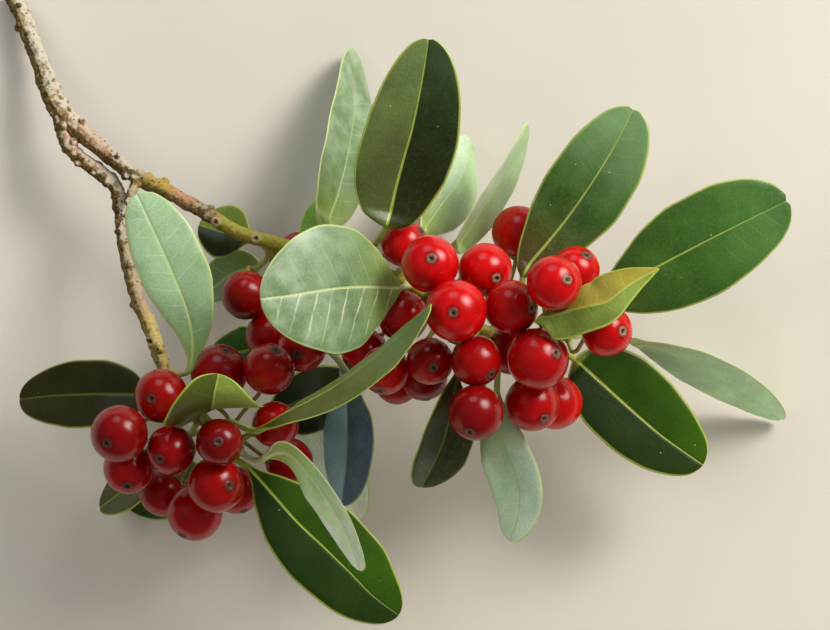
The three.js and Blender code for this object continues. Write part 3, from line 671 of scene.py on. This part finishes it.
def leaf_material():
    s = Shader("waxy_leaf")
    across, along, side = s.parts("leaf_place")
    ribs, veins, wax_and_sheen = s.parts("leaf_look")
    above = s.between(side, -0.03, 0.03)
    edge = s.math("ABSOLUTE", side)
    reach = s.math("ABSOLUTE", across)

    # Lateral veins fade here and there and towards the margin, and a fine net lies between them
    line = vein_lines(s, across, along, veins)
    faint = s.between(s.noise(3.4, 2), 0.36, 0.56, 0.25, 1)
    line = s.product(line, s.between(edge, 0.3, 2.4), faint, s.between(reach, 3, 11, 1, 0.3))
    net = s.between(s.cells(0.9, "DISTANCE_TO_EDGE")["Distance"], 0, 0.1, 1, 0)

    cloud = s.between(s.noise(7, 3), 0.3, 0.7, 0.8, 1.15)
    grain = s.between(s.noise(0.35, 2), 0.3, 0.7, -0.1, 0.1)
    # The skin is darker near the petiole and lighter towards the tip: a painted sheen there
    shade = s.product(s.total(cloud, grain), s.between(along, 2, 28, 0.86, 1.14))
    skin = with_wax_sheen(s, s.scaled(s.tint(), shade), along, wax_and_sheen)
    vein_tone = s.blend(s.between(wax_and_sheen, 0, 0.5), s.scaled(skin, VEIN_LIGHTNESS), SHEEN_VEIN)
    skin = s.blend(s.product(line, veins, 0.54), skin, vein_tone)
    skin = s.blend(s.product(net, veins, 0.05), skin, vein_tone)
    dust = s.between(s.noise(0.7, 5, roughness=0.7), 0.5, 0.7, 0, 0.09)
    skin = s.blend(s.product(dust, above, s.between(wax_and_sheen, 0, 0.04)), skin, DUST)
    dots = s.cells(1.9)
    dot = s.product(s.between(dots["Distance"], 0.045, 0.07, 1, 0), s.chosen(dots, 0.72))
    skin = s.blend(s.product(dot, above, 0.6), skin, DOT)
    rib_tone = s.blend(s.noise(2, 2), *RIB_TONES)
    rib_tone = s.blend(s.product(wax_and_sheen, 0.9), rib_tone, SHEEN_RIB)
    skin = s.blend(s.product(rib_shine(s, reach, along, edge, ribs), 0.85), skin, rib_tone)

    pores = s.noise(0.18, 2)
    height = s.total(
        s.product(line, s.between(veins, 0, 1, -0.15, -0.6)), s.product(net, -0.11),
        s.product(pores, 0.35), s.product(s.noise(2.4, 2), 0.7),
    )
    rough = s.total(s.between(above, 0, 1, 0.58, 0.36), s.between(pores, 0.2, 0.8, -0.05, 0.05))
    return s.finish(
        Base_Color=skin, Roughness=rough, Normal=s.bump(height, 0.07),
        Specular_IOR_Level=0.36, Coat_Weight=0.12, Coat_Roughness=0.22,
    )


def drupe_material():
    s = Shader("ripe_skin")
    apart, _, scab = s.parts("drupe_place")
    mottle = s.noise(2.4, 5)
    skin = s.blend(s.between(mottle, 0.35, 0.75, 0, 0.4), s.tint(), OVERRIPE)
    skin = s.blend(s.between(apart, 7, 14, 0, 0.25), skin, NEAR_STALK)
    spots = s.cells(0.62)
    fleck = s.product(s.between(spots["Distance"], 0.05, 0.1, 1, 0), s.chosen(spots, 0.75))
    skin = s.blend(s.product(fleck, 0.4), skin, FLECK)

    # The scar: a dark pit in a crusty rim, inside a dull reddish ring
    wobble = s.total(apart, s.between(s.noise(0.45, 3), 0.2, 0.8, -0.24, 0.24))
    skin = s.blend(s.between(wobble, 0.75, 1.7, 0.75, 0), skin, SCAR_RING)
    dark_crust = s.blend(s.noise(0.25, 3), *DARK_SCAB)
    crust = s.blend(scab, dark_crust, s.blend(s.noise(0.25, 3), *PALE_SCAB))
    skin = s.blend(s.between(wobble, 0.62, 0.95, 0.95, 0), skin, crust)
    skin = s.blend(s.between(wobble, 0.24, 0.48, 1, 0), skin, SCAR_PIT)
    scar = s.between(apart, 0.6, 1.1, 1, 0)
    rough = s.total(s.product(scar, 0.5), s.between(mottle, 0.3, 0.7, 0.2, 0.28))
    lumps = s.product(s.noise(0.5, 3), 0.4)
    height = s.total(lumps, s.product(fleck, 0.3), s.product(s.noise(0.14, 2), 0.22))
    s.surface.inputs["Subsurface Radius"].default_value = (1.0, 0.18, 0.1)
    return s.finish(
        Base_Color=skin, Roughness=rough, Normal=s.bump(height, 0.02),
        Specular_IOR_Level=0.26, Coat_Weight=0.28, Coat_Roughness=0.12,
        Subsurface_Weight=0.15, Subsurface_Scale=0.0012,
    )


def stalk_material():
    s = Shader("green_stalk")
    along = s.parts("drupe_place")[1]
    skin = s.blend(s.noise(1.4, 3), *STALK_GREENS)
    skin = s.blend(s.between(along, 0.55, 1, 0, 0.45), skin, STALK_BLUSH)
    skin = s.blend(s.between(s.noise(0.35, 3), 0.58, 0.7, 0, 0.7), skin, STALK_CORK)
    return s.finish(Base_Color=skin, Roughness=0.6, Normal=s.bump(s.noise(0.3, 4), 0.08))


def bark_material():
    s = Shader("bark")
    age, scar, cut = s.parts("bark_place")
    toward_light, bud, _ = s.parts("bark_look")
    fine = s.noise(0.45, 5, roughness=0.68)
    broad = s.noise(2.6, 4)
    skin = s.blend(s.between(fine, 0.35, 0.7, 0, 0.5), s.tint(), GRIME)
    warm = s.product(s.between(broad, 0.52, 0.66), s.product(age, 0.45))
    skin = s.blend(warm, skin, WARM_BARK)
    sunny = s.product(s.between(broad, 0.4, 0.3), s.between(age, 0, 1, 0.15, 0.4))
    skin = s.blend(sunny, skin, SUNNY_BARK)

    # The side away from the light is dark, most of all on old wood: moss, and painted shade
    moss_and_shade = s.total(toward_light, s.between(s.noise(0.9, 4), 0.25, 0.75, -0.3, 0.3))
    moss_and_shade = s.product(s.between(moss_and_shade, 0.44, 0.08), s.between(age, 0, 1, 0.3, 0.92))
    moss_and_shade_tone = s.blend(s.between(s.noise(0.5, 4), 0.35, 0.65), *MOSS_AND_SHADE_TONES)
    skin = s.blend(moss_and_shade, skin, moss_and_shade_tone)

    # Pale crusts of lichen grow on the other side, more where the light falls: partly painted light
    patch = s.total(s.noise(1.5, 6, roughness=0.68), s.product(toward_light, 0.2))
    crust = s.product(s.between(patch, 0.55, 0.61), s.between(age, 0.55, 1))
    skin = s.blend(s.product(crust, 0.85), skin, s.blend(s.noise(0.32, 4), *LICHEN_TONES))
    pits = s.cells(0.95)
    ragged_pit = s.total(pits["Distance"], s.between(fine, 0.2, 0.8, -0.16, 0.16))
    pit = s.product(s.between(ragged_pit, 0.14, 0.3, 1, 0), s.chosen(pits, 0.5))
    pit = s.product(pit, s.between(age, 0.1, 0.6, 0.3, 1))
    skin = s.blend(s.product(pit, 0.8), skin, BARK_PIT)
    skin = s.blend(s.between(bud, 0.3, 0.55, 0.85, 0), skin, BUD)

    # Round leaf scars are dark, with a pale corky rim
    ragged = s.total(scar, s.between(s.noise(0.4, 3), 0.2, 0.8, -0.16, 0.16))
    skin = s.blend(s.between(ragged, 0.62, 0.95, 0.7, 0), skin, LEAF_SCAR_RIM)
    skin = s.blend(s.between(ragged, 0.28, 0.5, 0.95, 0), skin, LEAF_SCAR_PIT)

    # The cut end shows pale wood with fine rings
    rings = s.math("SINE", s.product(cut, WOOD_RINGS))
    wood = s.blend(s.between(rings, -1, 1), *WOOD_TONES)
    skin = s.blend(s.between(cut, 0.02, 0.08), skin, wood)
    height = s.total(s.product(fine, 0.9), s.product(crust, 0.5))
    height = s.math("SUBTRACT", height, s.product(pit, 0.6))
    rough = s.between(age, 0, 1, 0.55, 0.85)
    return s.finish(Base_Color=skin, Roughness=rough, Normal=s.bump(height, 0.14))


def leaf_skeleton(node):
    """What the CAD solid of a leaf says: its midrib, frame and half widths at knots along it."""
    rings, tip = loft_of(node)
    broad = rings[BROAD_RING]
    widths = np.linalg.norm(broad[:4] - broad[4:], axis=1)
    rings = np.roll(rings, -int(np.argmax(widths)), axis=1)
    broad = rings[BROAD_RING]
    facing = broad[1] + broad[3] - broad[5] - broad[7]
    if (facing[2] > 0) == (node in UNDERSIDE_UP):
        rings = np.roll(rings, SIDES // 2, axis=1)
    left_edge, top, right_edge, bottom = rings[:, ::2].swapaxes(0, 1)
    middle = (2 * top + bottom) / 3
    middle[:PETIOLE_RINGS] = rings[:PETIOLE_RINGS].mean(axis=1)
    normals = unit(top - bottom)
    spread = left_edge - right_edge
    left = unit(spread - normals * np.sum(spread * normals, axis=1, keepdims=True))
    reach_left = np.sum((left_edge - middle) * left, axis=1)
    reach_right = -np.sum((right_edge - middle) * left, axis=1)

    # How the widest ring rises towards its margin, as a straight and a bowed share of its half
    widest = PETIOLE_RINGS + np.argmax(reach_left[PETIOLE_RINGS:])
    half = reach_left[widest]
    margin_rise = (left_edge[widest] - middle[widest]) @ normals[widest] / half
    quarter = (rings[widest, 1] + rings[widest, 7]) / 2 - middle[widest]
    quarter_rise = quarter @ normals[widest] / half
    midrib = np.vstack([middle, tip])
    return {
        "knots": lengths_along(midrib),
        "midrib": midrib,
        "left": np.vstack([left, left[-1]]),
        "normals": np.vstack([normals, normals[-1]]),
        "halves": (np.append(reach_left, 0), np.append(reach_right, 0)),
        "rise": 4 * quarter_rise - margin_rise,
        "bow": 2 * margin_rise - 4 * quarter_rise,
    }


def leaf_columns():
    """Places of the points round a leaf, from 1, left, to -1, right, and which side they are on.

    The side is 1 above, -1 below and 0 at the margins.
    """
    across = crowded(HALF_STEPS, MARGIN_CROWDING)
    top = np.concatenate([across[::-1], -across[1:]])
    shares = np.concatenate([top, -top[1:-1]])
    faces_up = np.concatenate([np.ones(len(top)), -np.ones(len(top) - 2)])
    faces_up[[0, len(top) - 1]] = 0
    return shares, faces_up


def wavering(at, shares, seed):
    """Slow noise over a leaf, for its outline, its margin and its face."""
    grids = []
    for layer, size in enumerate(WAVE_LENGTHS):
        # Each leaf and each layer has its own part of the noise
        depth = seed * 7.3 + layer * 31
        grids.append(np.array([
            [noise.noise(Vector((a / size, s * WAVES_ACROSS, depth))) for s in shares] for a in at
        ]))
    return grids


def leaf_thickness(blade, away, lateral, petiole, faces_up):
    """How far the skin is from the leaf's middle layer: a round petiole, then a thin blade.

    The blade has a keel below the midrib and a groove above it.
    """
    flat = ease(blade, -0.04, 0.09)[:, None]
    round_half = np.maximum(petiole, LEAST_PETIOLE)[:, None] * np.sqrt(1 - away**2)
    thin_half = BLADE_THICKNESS / 2 * np.sqrt(1 - away**4)
    thickness = mixed(round_half, thin_half, flat)
    thickness = thickness * mixed(1, ease(1 - blade, 0, 0.03)[:, None], 0.4)
    keel = mixed(KEEL_AT_PETIOLE, KEEL_AT_TIP, np.clip(blade, 0, 1))[:, None]
    keel = keel * hump(lateral, KEEL_REACH)
    groove = GROOVE_DEPTH * hump(lateral, GROOVE_REACH)
    lift = np.where(faces_up > 0, thickness - groove * flat, -thickness - keel * flat)
    return np.where(faces_up == 0, 0, lift)


def leaf_surface(node, seed):
    """Rings of points of a smooth leaf, the ends of its axis, and the place of each point."""
    bones = leaf_skeleton(node)
    knots = bones["knots"]
    neck = knots[PETIOLE_RINGS - 1]
    at = np.concatenate([
        np.linspace(0, neck, PETIOLE_STEPS, endpoint=False),
        neck + crowded(BLADE_STEPS, END_CROWDING)[:-1] * (knots[-1] - neck),
    ])
    along = at - neck
    blade = along / (knots[-1] - neck)
    midrib = smooth_through(knots, bones["midrib"], at)
    left = unit(smooth_through(knots, bones["left"], at))
    normal = unit(smooth_through(knots, bones["normals"], at))
    halves = [np.sqrt(np.maximum(steady_through(knots, h**2, at), 0)) for h in bones["halves"]]

    shares, faces_up = leaf_columns()
    away = np.minimum(np.abs(shares), 1)
    outline, margin, face = wavering(at, shares, seed)
    open_blade = ease(blade, 0, 0.18)[:, None]
    half = np.where(shares > 0, halves[0][:, None], halves[1][:, None])
    half = half * (1 + OUTLINE_WAVE * outline * open_blade)
    lateral = half * shares

    # Height of the middle layer above the midrib, with a soft crease and a wavy, rolled margin
    crease = np.sqrt(away**2 + SOFT_CREASE**2) - SOFT_CREASE
    rise = half * (bones["rise"] * crease + bones["bow"] * away**2)
    rise = rise + (MARGIN_WAVE * margin * away**2 + FACE_WAVE * face) * open_blade
    rise = rise - MARGIN_ROLL * ease(away, ROLL_START, 1) * open_blade
    rise = rise + leaf_thickness(blade, away, lateral, halves[0], faces_up)
    points = midrib[:, None] + left[:, None] * lateral[..., None] + normal[:, None] * rise[..., None]

    tangent = unit(np.gradient(midrib, axis=0))
    notch = NOTCHED.get(node, 0)
    near_tip = ease(along, along[-1] - NOTCH_LENGTH, along[-1])[:, None]
    depth = notch * hump(lateral, NOTCH_REACH) * near_tip
    points = flare_foot(points - tangent[:, None] * depth[..., None], midrib, at)
    ends = (midrib[0] - tangent[0] * FOOT_DEPTH, bones["midrib"][-1] - tangent[-1] * notch)
    side = (1 - away) * half * faces_up
    place = np.stack([lateral, np.broadcast_to(along[:, None], half.shape), side], axis=-1)
    return points, ends, place


def flare_foot(points, axis, at):
    """Widens the start of a petiole or stalk and pushes it into the bark."""
    foot = hump(at, FOOT_REACH)
    widened = axis[:, None] + (points - axis[:, None]) * (1 + FOOT_FLARE * foot)[:, None, None]
    back = unit(axis[0] - axis[2]) * FOOT_DEPTH
    return widened + back * foot[:, None, None]


def leaf_values(node):
    """Look and tint of each column of points along a leaf."""
    shares, faces_up = leaf_columns()
    left_tone, right_tone, ribs, veins, wax_and_sheen = LEAF_LOOKS[node]
    share = ease(shares, -0.05, 0.05)
    above = mixed(right_tone, left_tone, share[:, None])
    below = mixed(above, BELOW, 0.15 if node in UNDERSIDE_UP else 0.6)
    tint = np.where(faces_up[:, None] >= 0, above, below)
    left_veins, right_veins = np.broadcast_to(veins, 2)
    clear = mixed(right_veins, left_veins, share)
    look = np.stack([np.full(clear.shape, ribs), clear, np.full(clear.shape, wax_and_sheen)], axis=-1)
    return {"leaf_look": look, "tint": tint}


def make_leaf(node, seed, material):
    """One leaf with its petiole. Returns where it starts."""
    points, ends, place = leaf_surface(node, seed)
    rows, columns = place.shape[:2]
    attributes = {"leaf_place": closed(place, [0, place[0, 0, 1], 0], [0, place[-1, 0, 1], 0])}
    for label, values in leaf_values(node).items():
        attributes[label] = closed(np.tile(values, (rows, 1, 1)), values[1], values[1])
    skin = closed(points, *ends)
    piece = add_mesh(node + "_blade", skin, ring_faces(rows, columns), attributes, [material])
    settle(piece, "leaf", node)
    return ends[0]


def drupe_rings(centre, apex, radius, seed):
    """Rings of the fruit from its scar to its stalk, and how far each is from the scar."""
    scar = np.array(SCAR_ROWS)
    first = np.degrees(scar[-1] / radius) + SKIN_STEP
    rest = np.radians(np.arange(first, LAST_SKIN_ANGLE, SKIN_STEP))
    angles = np.concatenate([scar / radius, rest])
    apart = angles * radius
    dent = relief(apart, DRUPE_SCAR_RELIEF) + relief((np.pi - angles) * radius, STALK_END_RELIEF)
    sideways = around(apex, unit(np.cross(apex, [0.31, 0.2, 0.93])), circle(DRUPE_COLUMNS))
    way = apex * np.cos(angles)[:, None, None] + sideways * np.sin(angles)[:, None, None]

    # Each fruit has its own part of the noise
    shift = Vector((seed * 3.7, 0, 0))
    uneven = np.array([
        [noise.noise(Vector(direction * 1.3) + shift) for direction in row] for row in way
    ])
    reach = radius + dent[:, None] + SKIN_LUMPS * uneven * ease(apart, 0.5, 2.5)[:, None]
    return centre + way * reach[..., None], apart


def stalk_rings(route):
    """Rings along a stalk from the bark to the fruit, and how far along each is, from 0 to 1."""
    knots = lengths_along(route)
    at = np.linspace(0, knots[-1], STALK_STEPS)
    axis = smooth_through(knots, route, at)
    tangents = unit(np.gradient(axis, axis=0))
    swelling = STALK_SWELLING * hump(knots[-1] - at, SWELLING_REACH)
    angles = circle(STALK_COLUMNS)
    side = unit(np.cross(tangents[0], [0.2, 0.5, 0.84]))
    rings = []
    for point, tangent, place, swollen in zip(axis, tangents, at, swelling):
        side = unit(side - tangent * (side @ tangent))
        ridged = 1 + RIDGE_HEIGHT * np.sin(STALK_RIDGES * angles + place)
        reach = (STALK_RADIUS + swollen) * ridged
        rings.append(point + around(tangent, side, angles) * reach[:, None])
    return flare_foot(np.array(rings), axis, at), at / knots[-1]


def calyx_rings(centre, apex, radius):
    """A thin lobed star that lies on the fruit around its stalk."""
    angles = circle(CALYX_COLUMNS)
    sideways = around(apex, unit(np.cross(apex, [0.4, 0.7, 0.6])), angles)
    lobes = 1 + LOBE_LENGTH * np.cos(CALYX_LOBES * angles)
    rings = []
    for reach, lift in CALYX_RINGS:
        outward = np.where(reach > 0.5, reach * lobes, reach)
        depth = np.sqrt(radius**2 - outward**2) + lift - 0.25 * hump(outward, 1.2)
        rings.append(centre - apex * depth[:, None] + sideways * outward[:, None])
    return np.array(rings)


def at_rings(rings, *values):
    """Values at each point of rings, from single numbers and lists with a number per ring."""
    grids = [np.broadcast_to(np.reshape(value, (-1, 1)), rings.shape[:2]) for value in values]
    return np.stack(grids, axis=-1)


def make_drupe(name, shape, seed, looks, materials):
    """One fruit with its calyx and stalk, in one mesh. looks: its tint and scar paleness."""
    centre, apex, radius, route = shape
    tint, pale = looks
    fruit, apart = drupe_rings(centre, apex, radius, seed)
    stalk, share = stalk_rings(route)
    calyx = calyx_rings(centre, apex, radius)
    pit = centre + apex * (radius - PIT_DEPTH)

    # Rings, their values, the number of their material, and what closes them at each end
    skins = [
        (fruit[::-1], at_rings(fruit, apart[::-1], 0, pale), 0, fruit[-1].mean(axis=0), pit),
        (stalk, at_rings(stalk, FAR_AWAY, share, 0), 1, *stalk[[0, -1]].mean(axis=1)),
        (calyx[::-1], at_rings(calyx, FAR_AWAY, 1, 0), 1, *calyx[[-1, 0]].mean(axis=1)),
    ]
    parts, place, slots = [], [], []
    for rings, values, slot, start, end in skins:
        faces = ring_faces(*rings.shape[:2])
        parts.append((closed(rings, start, end), faces))
        place.append(closed(values, values[0, 0], values[-1, 0]))
        slots.extend([slot] * len(faces))
    points, faces = joined(parts)
    attributes = {"drupe_place": np.vstack(place), "tint": np.tile(tint, (len(points), 1))}
    return add_mesh(name, points, faces, attributes, materials, slots)


def drupe_shape(node):
    """Centre, scar direction, radius and stalk route of a CAD drupe."""
    rings, tip = loft_of(node)
    widest = rings[STALK_RINGS + 2]
    middle = widest.mean(axis=0)
    radius = np.linalg.norm(widest - middle, axis=1).mean() / np.sin(np.radians(WIDEST_RING_ANGLE))
    apex = unit(tip - middle)
    centre = tip - apex * radius
    foot = centre - apex * (radius - FOOT_IN_FRUIT)
    return centre, apex, radius, np.vstack([rings[:STALK_RINGS].mean(axis=1), foot])


def hidden_shape(seen, radius, scar, bark):
    """The same for a drupe that has no CAD solid: its stalk comes from the nearest bark."""
    centre = sighted(*seen)
    apex = unit(np.array(scar, float))
    foot = centre - apex * (radius - FOOT_IN_FRUIT)
    place, outward, _, _ = bark.find_nearest(Vector(foot * MM))
    start = np.array(place) / MM
    pull = np.linalg.norm(foot - start) * HIDDEN_STALK_PULL
    pulls = [start, start + np.array(outward) * pull, foot - apex * pull, foot]
    t = np.linspace(0, 1, HIDDEN_STALK_KNOTS)[:, None]
    weights = ((1 - t) ** 3, 3 * t * (1 - t) ** 2, 3 * t**2 * (1 - t), t**3)
    return centre, apex, radius, sum(weight * point for weight, point in zip(weights, pulls))


def drupe_looks(node, seed):
    """Tint of a drupe, with painted sunlight or painted shade in it, and how pale its scar is."""
    upper = node.startswith("upper")
    tint = CRIMSON if upper else LOWER_SHADE_RED
    if upper and int(node[-2:]) in SUNLIT_DRUPES:
        tint = SUNLIT_RED
    if node in SHADED_DRUPES:
        tint = SHADED_RED
    pale = 0.2 + 0.1 * (seed % 4) if upper else 0.1
    if node in PALE_SCARS:
        pale = 0.95
    return mixed(tint, RIPE, 0.12 * (seed % 3)), pale


def make_drupes(bark, materials):
    """All drupes. Returns where their stalks start."""
    feet = []
    nodes = sorted(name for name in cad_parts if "_berry_" in name)
    for seed, node in enumerate(nodes):
        shape = drupe_shape(node)
        piece = make_drupe(node + "_fruit", shape, seed, drupe_looks(node, seed), materials)
        settle(piece, "berry", node)
        feet.append(shape[-1][0])
    for seed, (name, hidden) in enumerate(HIDDEN_DRUPES.items(), start=len(nodes)):
        shape = hidden_shape(*hidden, bark)
        piece = make_drupe(name, shape, seed, (CRIMSON, 0.2), materials)
        settle(piece, "berry")
        feet.append(shape[-1][0])
    return feet


def knob(place, radius, seed):
    """A small lumpy ball, as points and faces."""
    angle = np.linspace(0, np.pi, KNOB_ROWS + 2)[1:-1, None]
    turn = circle(KNOB_COLUMNS)
    upward = np.broadcast_to(np.cos(angle), (KNOB_ROWS, KNOB_COLUMNS))
    way = np.stack([np.sin(angle) * np.cos(turn), np.sin(angle) * np.sin(turn), upward], axis=-1)
    uneven = [noise.noise(Vector((seed, 2.3, 5.1 + 9.4 * axis))) for axis in range(3)]
    stretch = 1 + 0.3 * np.array(uneven)
    rings = place + way * radius * stretch
    skin = closed(rings, place + [0, 0, radius], place - [0, 0, radius])
    return skin, ring_faces(KNOB_ROWS, KNOB_COLUMNS)


def grown_together(name, points, faces):
    """An object whose overlapping closed parts are one skin of small, even faces."""
    rough = add_mesh(name, points, faces, {}, [])
    remesh = rough.modifiers.new("grow", "REMESH")
    remesh.mode = "VOXEL"
    remesh.voxel_size = VOXEL * MM
    smooth = rough.modifiers.new("even", "SMOOTH")
    smooth.iterations = SMOOTHING_PASSES
    evaluated = rough.evaluated_get(bpy.context.evaluated_depsgraph_get())
    mesh = bpy.data.meshes.new_from_object(evaluated)
    rough.modifiers.clear()
    rough.data = mesh
    return rough


def make_branch(feet, material):
    """The woody branch: the CAD shape with knobs and buds, grown together, then roughened."""
    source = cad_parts["branch"].data
    corners = vectors_of(source, "co") / MM
    seen = seen_as(corners)
    old = corners[(seen[:, 0] < OLD_WOOD_EDGE[0]) & (seen[:, 1] > OLD_WOOD_EDGE[1])]
    old = np.unique(np.round(old, 2), axis=0)
    draw = np.random.default_rng(LUMP_SEED)
    picks = old[draw.choice(len(old), KNOBS + BUDS, replace=False)]
    buds = picks[KNOBS:]
    lumps = [(place, draw.uniform(*KNOB_RADII)) for place in picks[:KNOBS]]
    lumps += [(place, draw.uniform(*BUD_RADII)) for place in buds]
    lumps += [(foot, FOOT_RADIUS) for foot in feet]
    parts = [(corners, [tuple(polygon.vertices) for polygon in source.polygons])]
    parts += [knob(place, radius, number) for number, (place, radius) in enumerate(lumps)]
    branch = grown_together("bark", *joined(parts))
    mesh = branch.data
    roughen(mesh, buds)
    mesh.materials.append(material)
    mesh.polygons.foreach_set("use_smooth", [True] * len(mesh.polygons))
    settle(branch, "bark", "branch")


def bark_tones(points):
    """Tint and age at points, mixed from the nearest places of BARK_TONES."""
    places, tones, ages = (np.array(column, float) for column in zip(*BARK_TONES))
    apart = np.linalg.norm(seen_as(points)[:, None] - places, axis=2)
    weight = 1 / (apart**3 + 1)
    weight /= weight.sum(axis=1, keepdims=True)
    return weight @ tones, weight @ ages


def nearest_of(points, places):
    """Distance from each point to the nearest of a few places."""
    return np.linalg.norm(points[:, None] - np.asarray(places), axis=2).min(axis=1)


def roughen(mesh, buds):
    """Moves the bark's points out and in along their normals and stores its values."""
    points = vectors_of(mesh, "co") / MM
    normals = vectors_of(mesh, "normal")
    tint, age = bark_tones(points)
    lumpy = np.array([noise.fractal(Vector(p / FINE_BARK[0]), 0.9, 2.1, 4) for p in points])
    broad = np.array([noise.noise(Vector(p / BROAD_BARK[0])) for p in points])
    move = lumpy * mixed(*FINE_BARK[1:], age) + broad * mixed(*BROAD_BARK[1:], age)

    # The cut end stays flat, and its middle shows the wood
    end = sighted(*CUT_END)
    inward = unit(sighted(*CUT_NEXT) - end)
    depth = (points - end) @ inward
    radial = np.linalg.norm(points - end - depth[:, None] * inward, axis=1)
    move[(depth < FLAT_DEPTH) & (radial < FLAT_RADIUS)] = 0
    cut = np.where((depth < WOOD_DEPTH) & (radial < WOOD_RADIUS), radial + 0.1, 0)

    # Leaf scars show on the upper side only
    scar = nearest_of(seen_as(points), LEAF_SCARS)
    scar = np.where(normals[:, 2] > 0.1, scar, FAR_AWAY)
    move += relief(scar, LEAF_SCAR_RELIEF)
    bud = nearest_of(points, buds)
    points = points + normals * move[:, None]
    mesh.vertices.foreach_set("co", (points * MM).reshape(-1))
    place = np.stack([age, scar, cut], axis=-1)
    # How far each point faces the light, for the painted shade and moss on the far side
    look = np.stack([normals @ LIGHT_SIDE, bud, np.zeros(len(points))], axis=-1)
    set_attributes(mesh, {"bark_place": place, "bark_look": look, "tint": tint})
    mesh.update()


def make_floor():
    mesh = bpy.data.meshes.new("table")
    reach = TABLE_REACH_METRES
    corners = [(-reach, -reach, 0), (reach, -reach, 0), (reach, reach, 0), (-reach, reach, 0)]
    mesh.from_pydata(corners, [], [(0, 1, 2, 3)])
    s = Shader("pale_table")
    paper = s.blend(s.noise(40, 3), *TABLE_TONES)
    mesh.materials.append(s.finish(Base_Color=paper, Roughness=0.85))
    add_object("table", mesh)


def make_light(name, place, size, power, shade, gleams):
    """A soft round light that shines at the middle of the branch, seen in gloss if it gleams."""
    data = bpy.data.lights.new(name, "AREA")
    data.shape = "DISK"
    data.size = size
    data.energy = power
    data.color = shade
    light = add_object(name, data)
    light.location = place
    light.visible_glossy = gleams
    light.rotation_euler = Vector(place).to_track_quat("Z", "Y").to_euler()


def make_camera():
    data = bpy.data.cameras.new("eye")
    data.sensor_width = SENSOR
    data.lens = SENSOR * FOCUS_DISTANCE * PIXELS_PER_MM / PHOTO_WIDTH
    data.clip_start = NEAR_CLIP_METRES
    camera = add_object("eye", data)
    camera.location = EYE * MM
    bpy.context.scene.camera = camera


def make_world():
    world = bpy.data.worlds.new("studio")
    world.use_nodes = True
    background = world.node_tree.nodes["Background"]
    background.inputs["Color"].default_value = WORLD_COLOUR
    background.inputs["Strength"].default_value = WORLD_STRENGTH
    bpy.context.scene.world = world
    bpy.context.scene.view_settings.view_transform = "Standard"


def main():
    make_camera()
    make_world()
    make_floor()
    for row in LIGHTS:
        make_light(*row)
    leaf_skin = leaf_material()
    leaves = sorted(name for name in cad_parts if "_leaf_" in name)
    feet = [make_leaf(node, seed, leaf_skin) for seed, node in enumerate(leaves)]
    branch_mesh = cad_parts["branch"].data
    bark = BVHTree.FromPolygons(
        [vertex.co for vertex in branch_mesh.vertices],
        [polygon.vertices for polygon in branch_mesh.polygons],
    )
    feet += make_drupes(bark, [drupe_material(), stalk_material()])
    make_branch(feet, bark_material())


main()
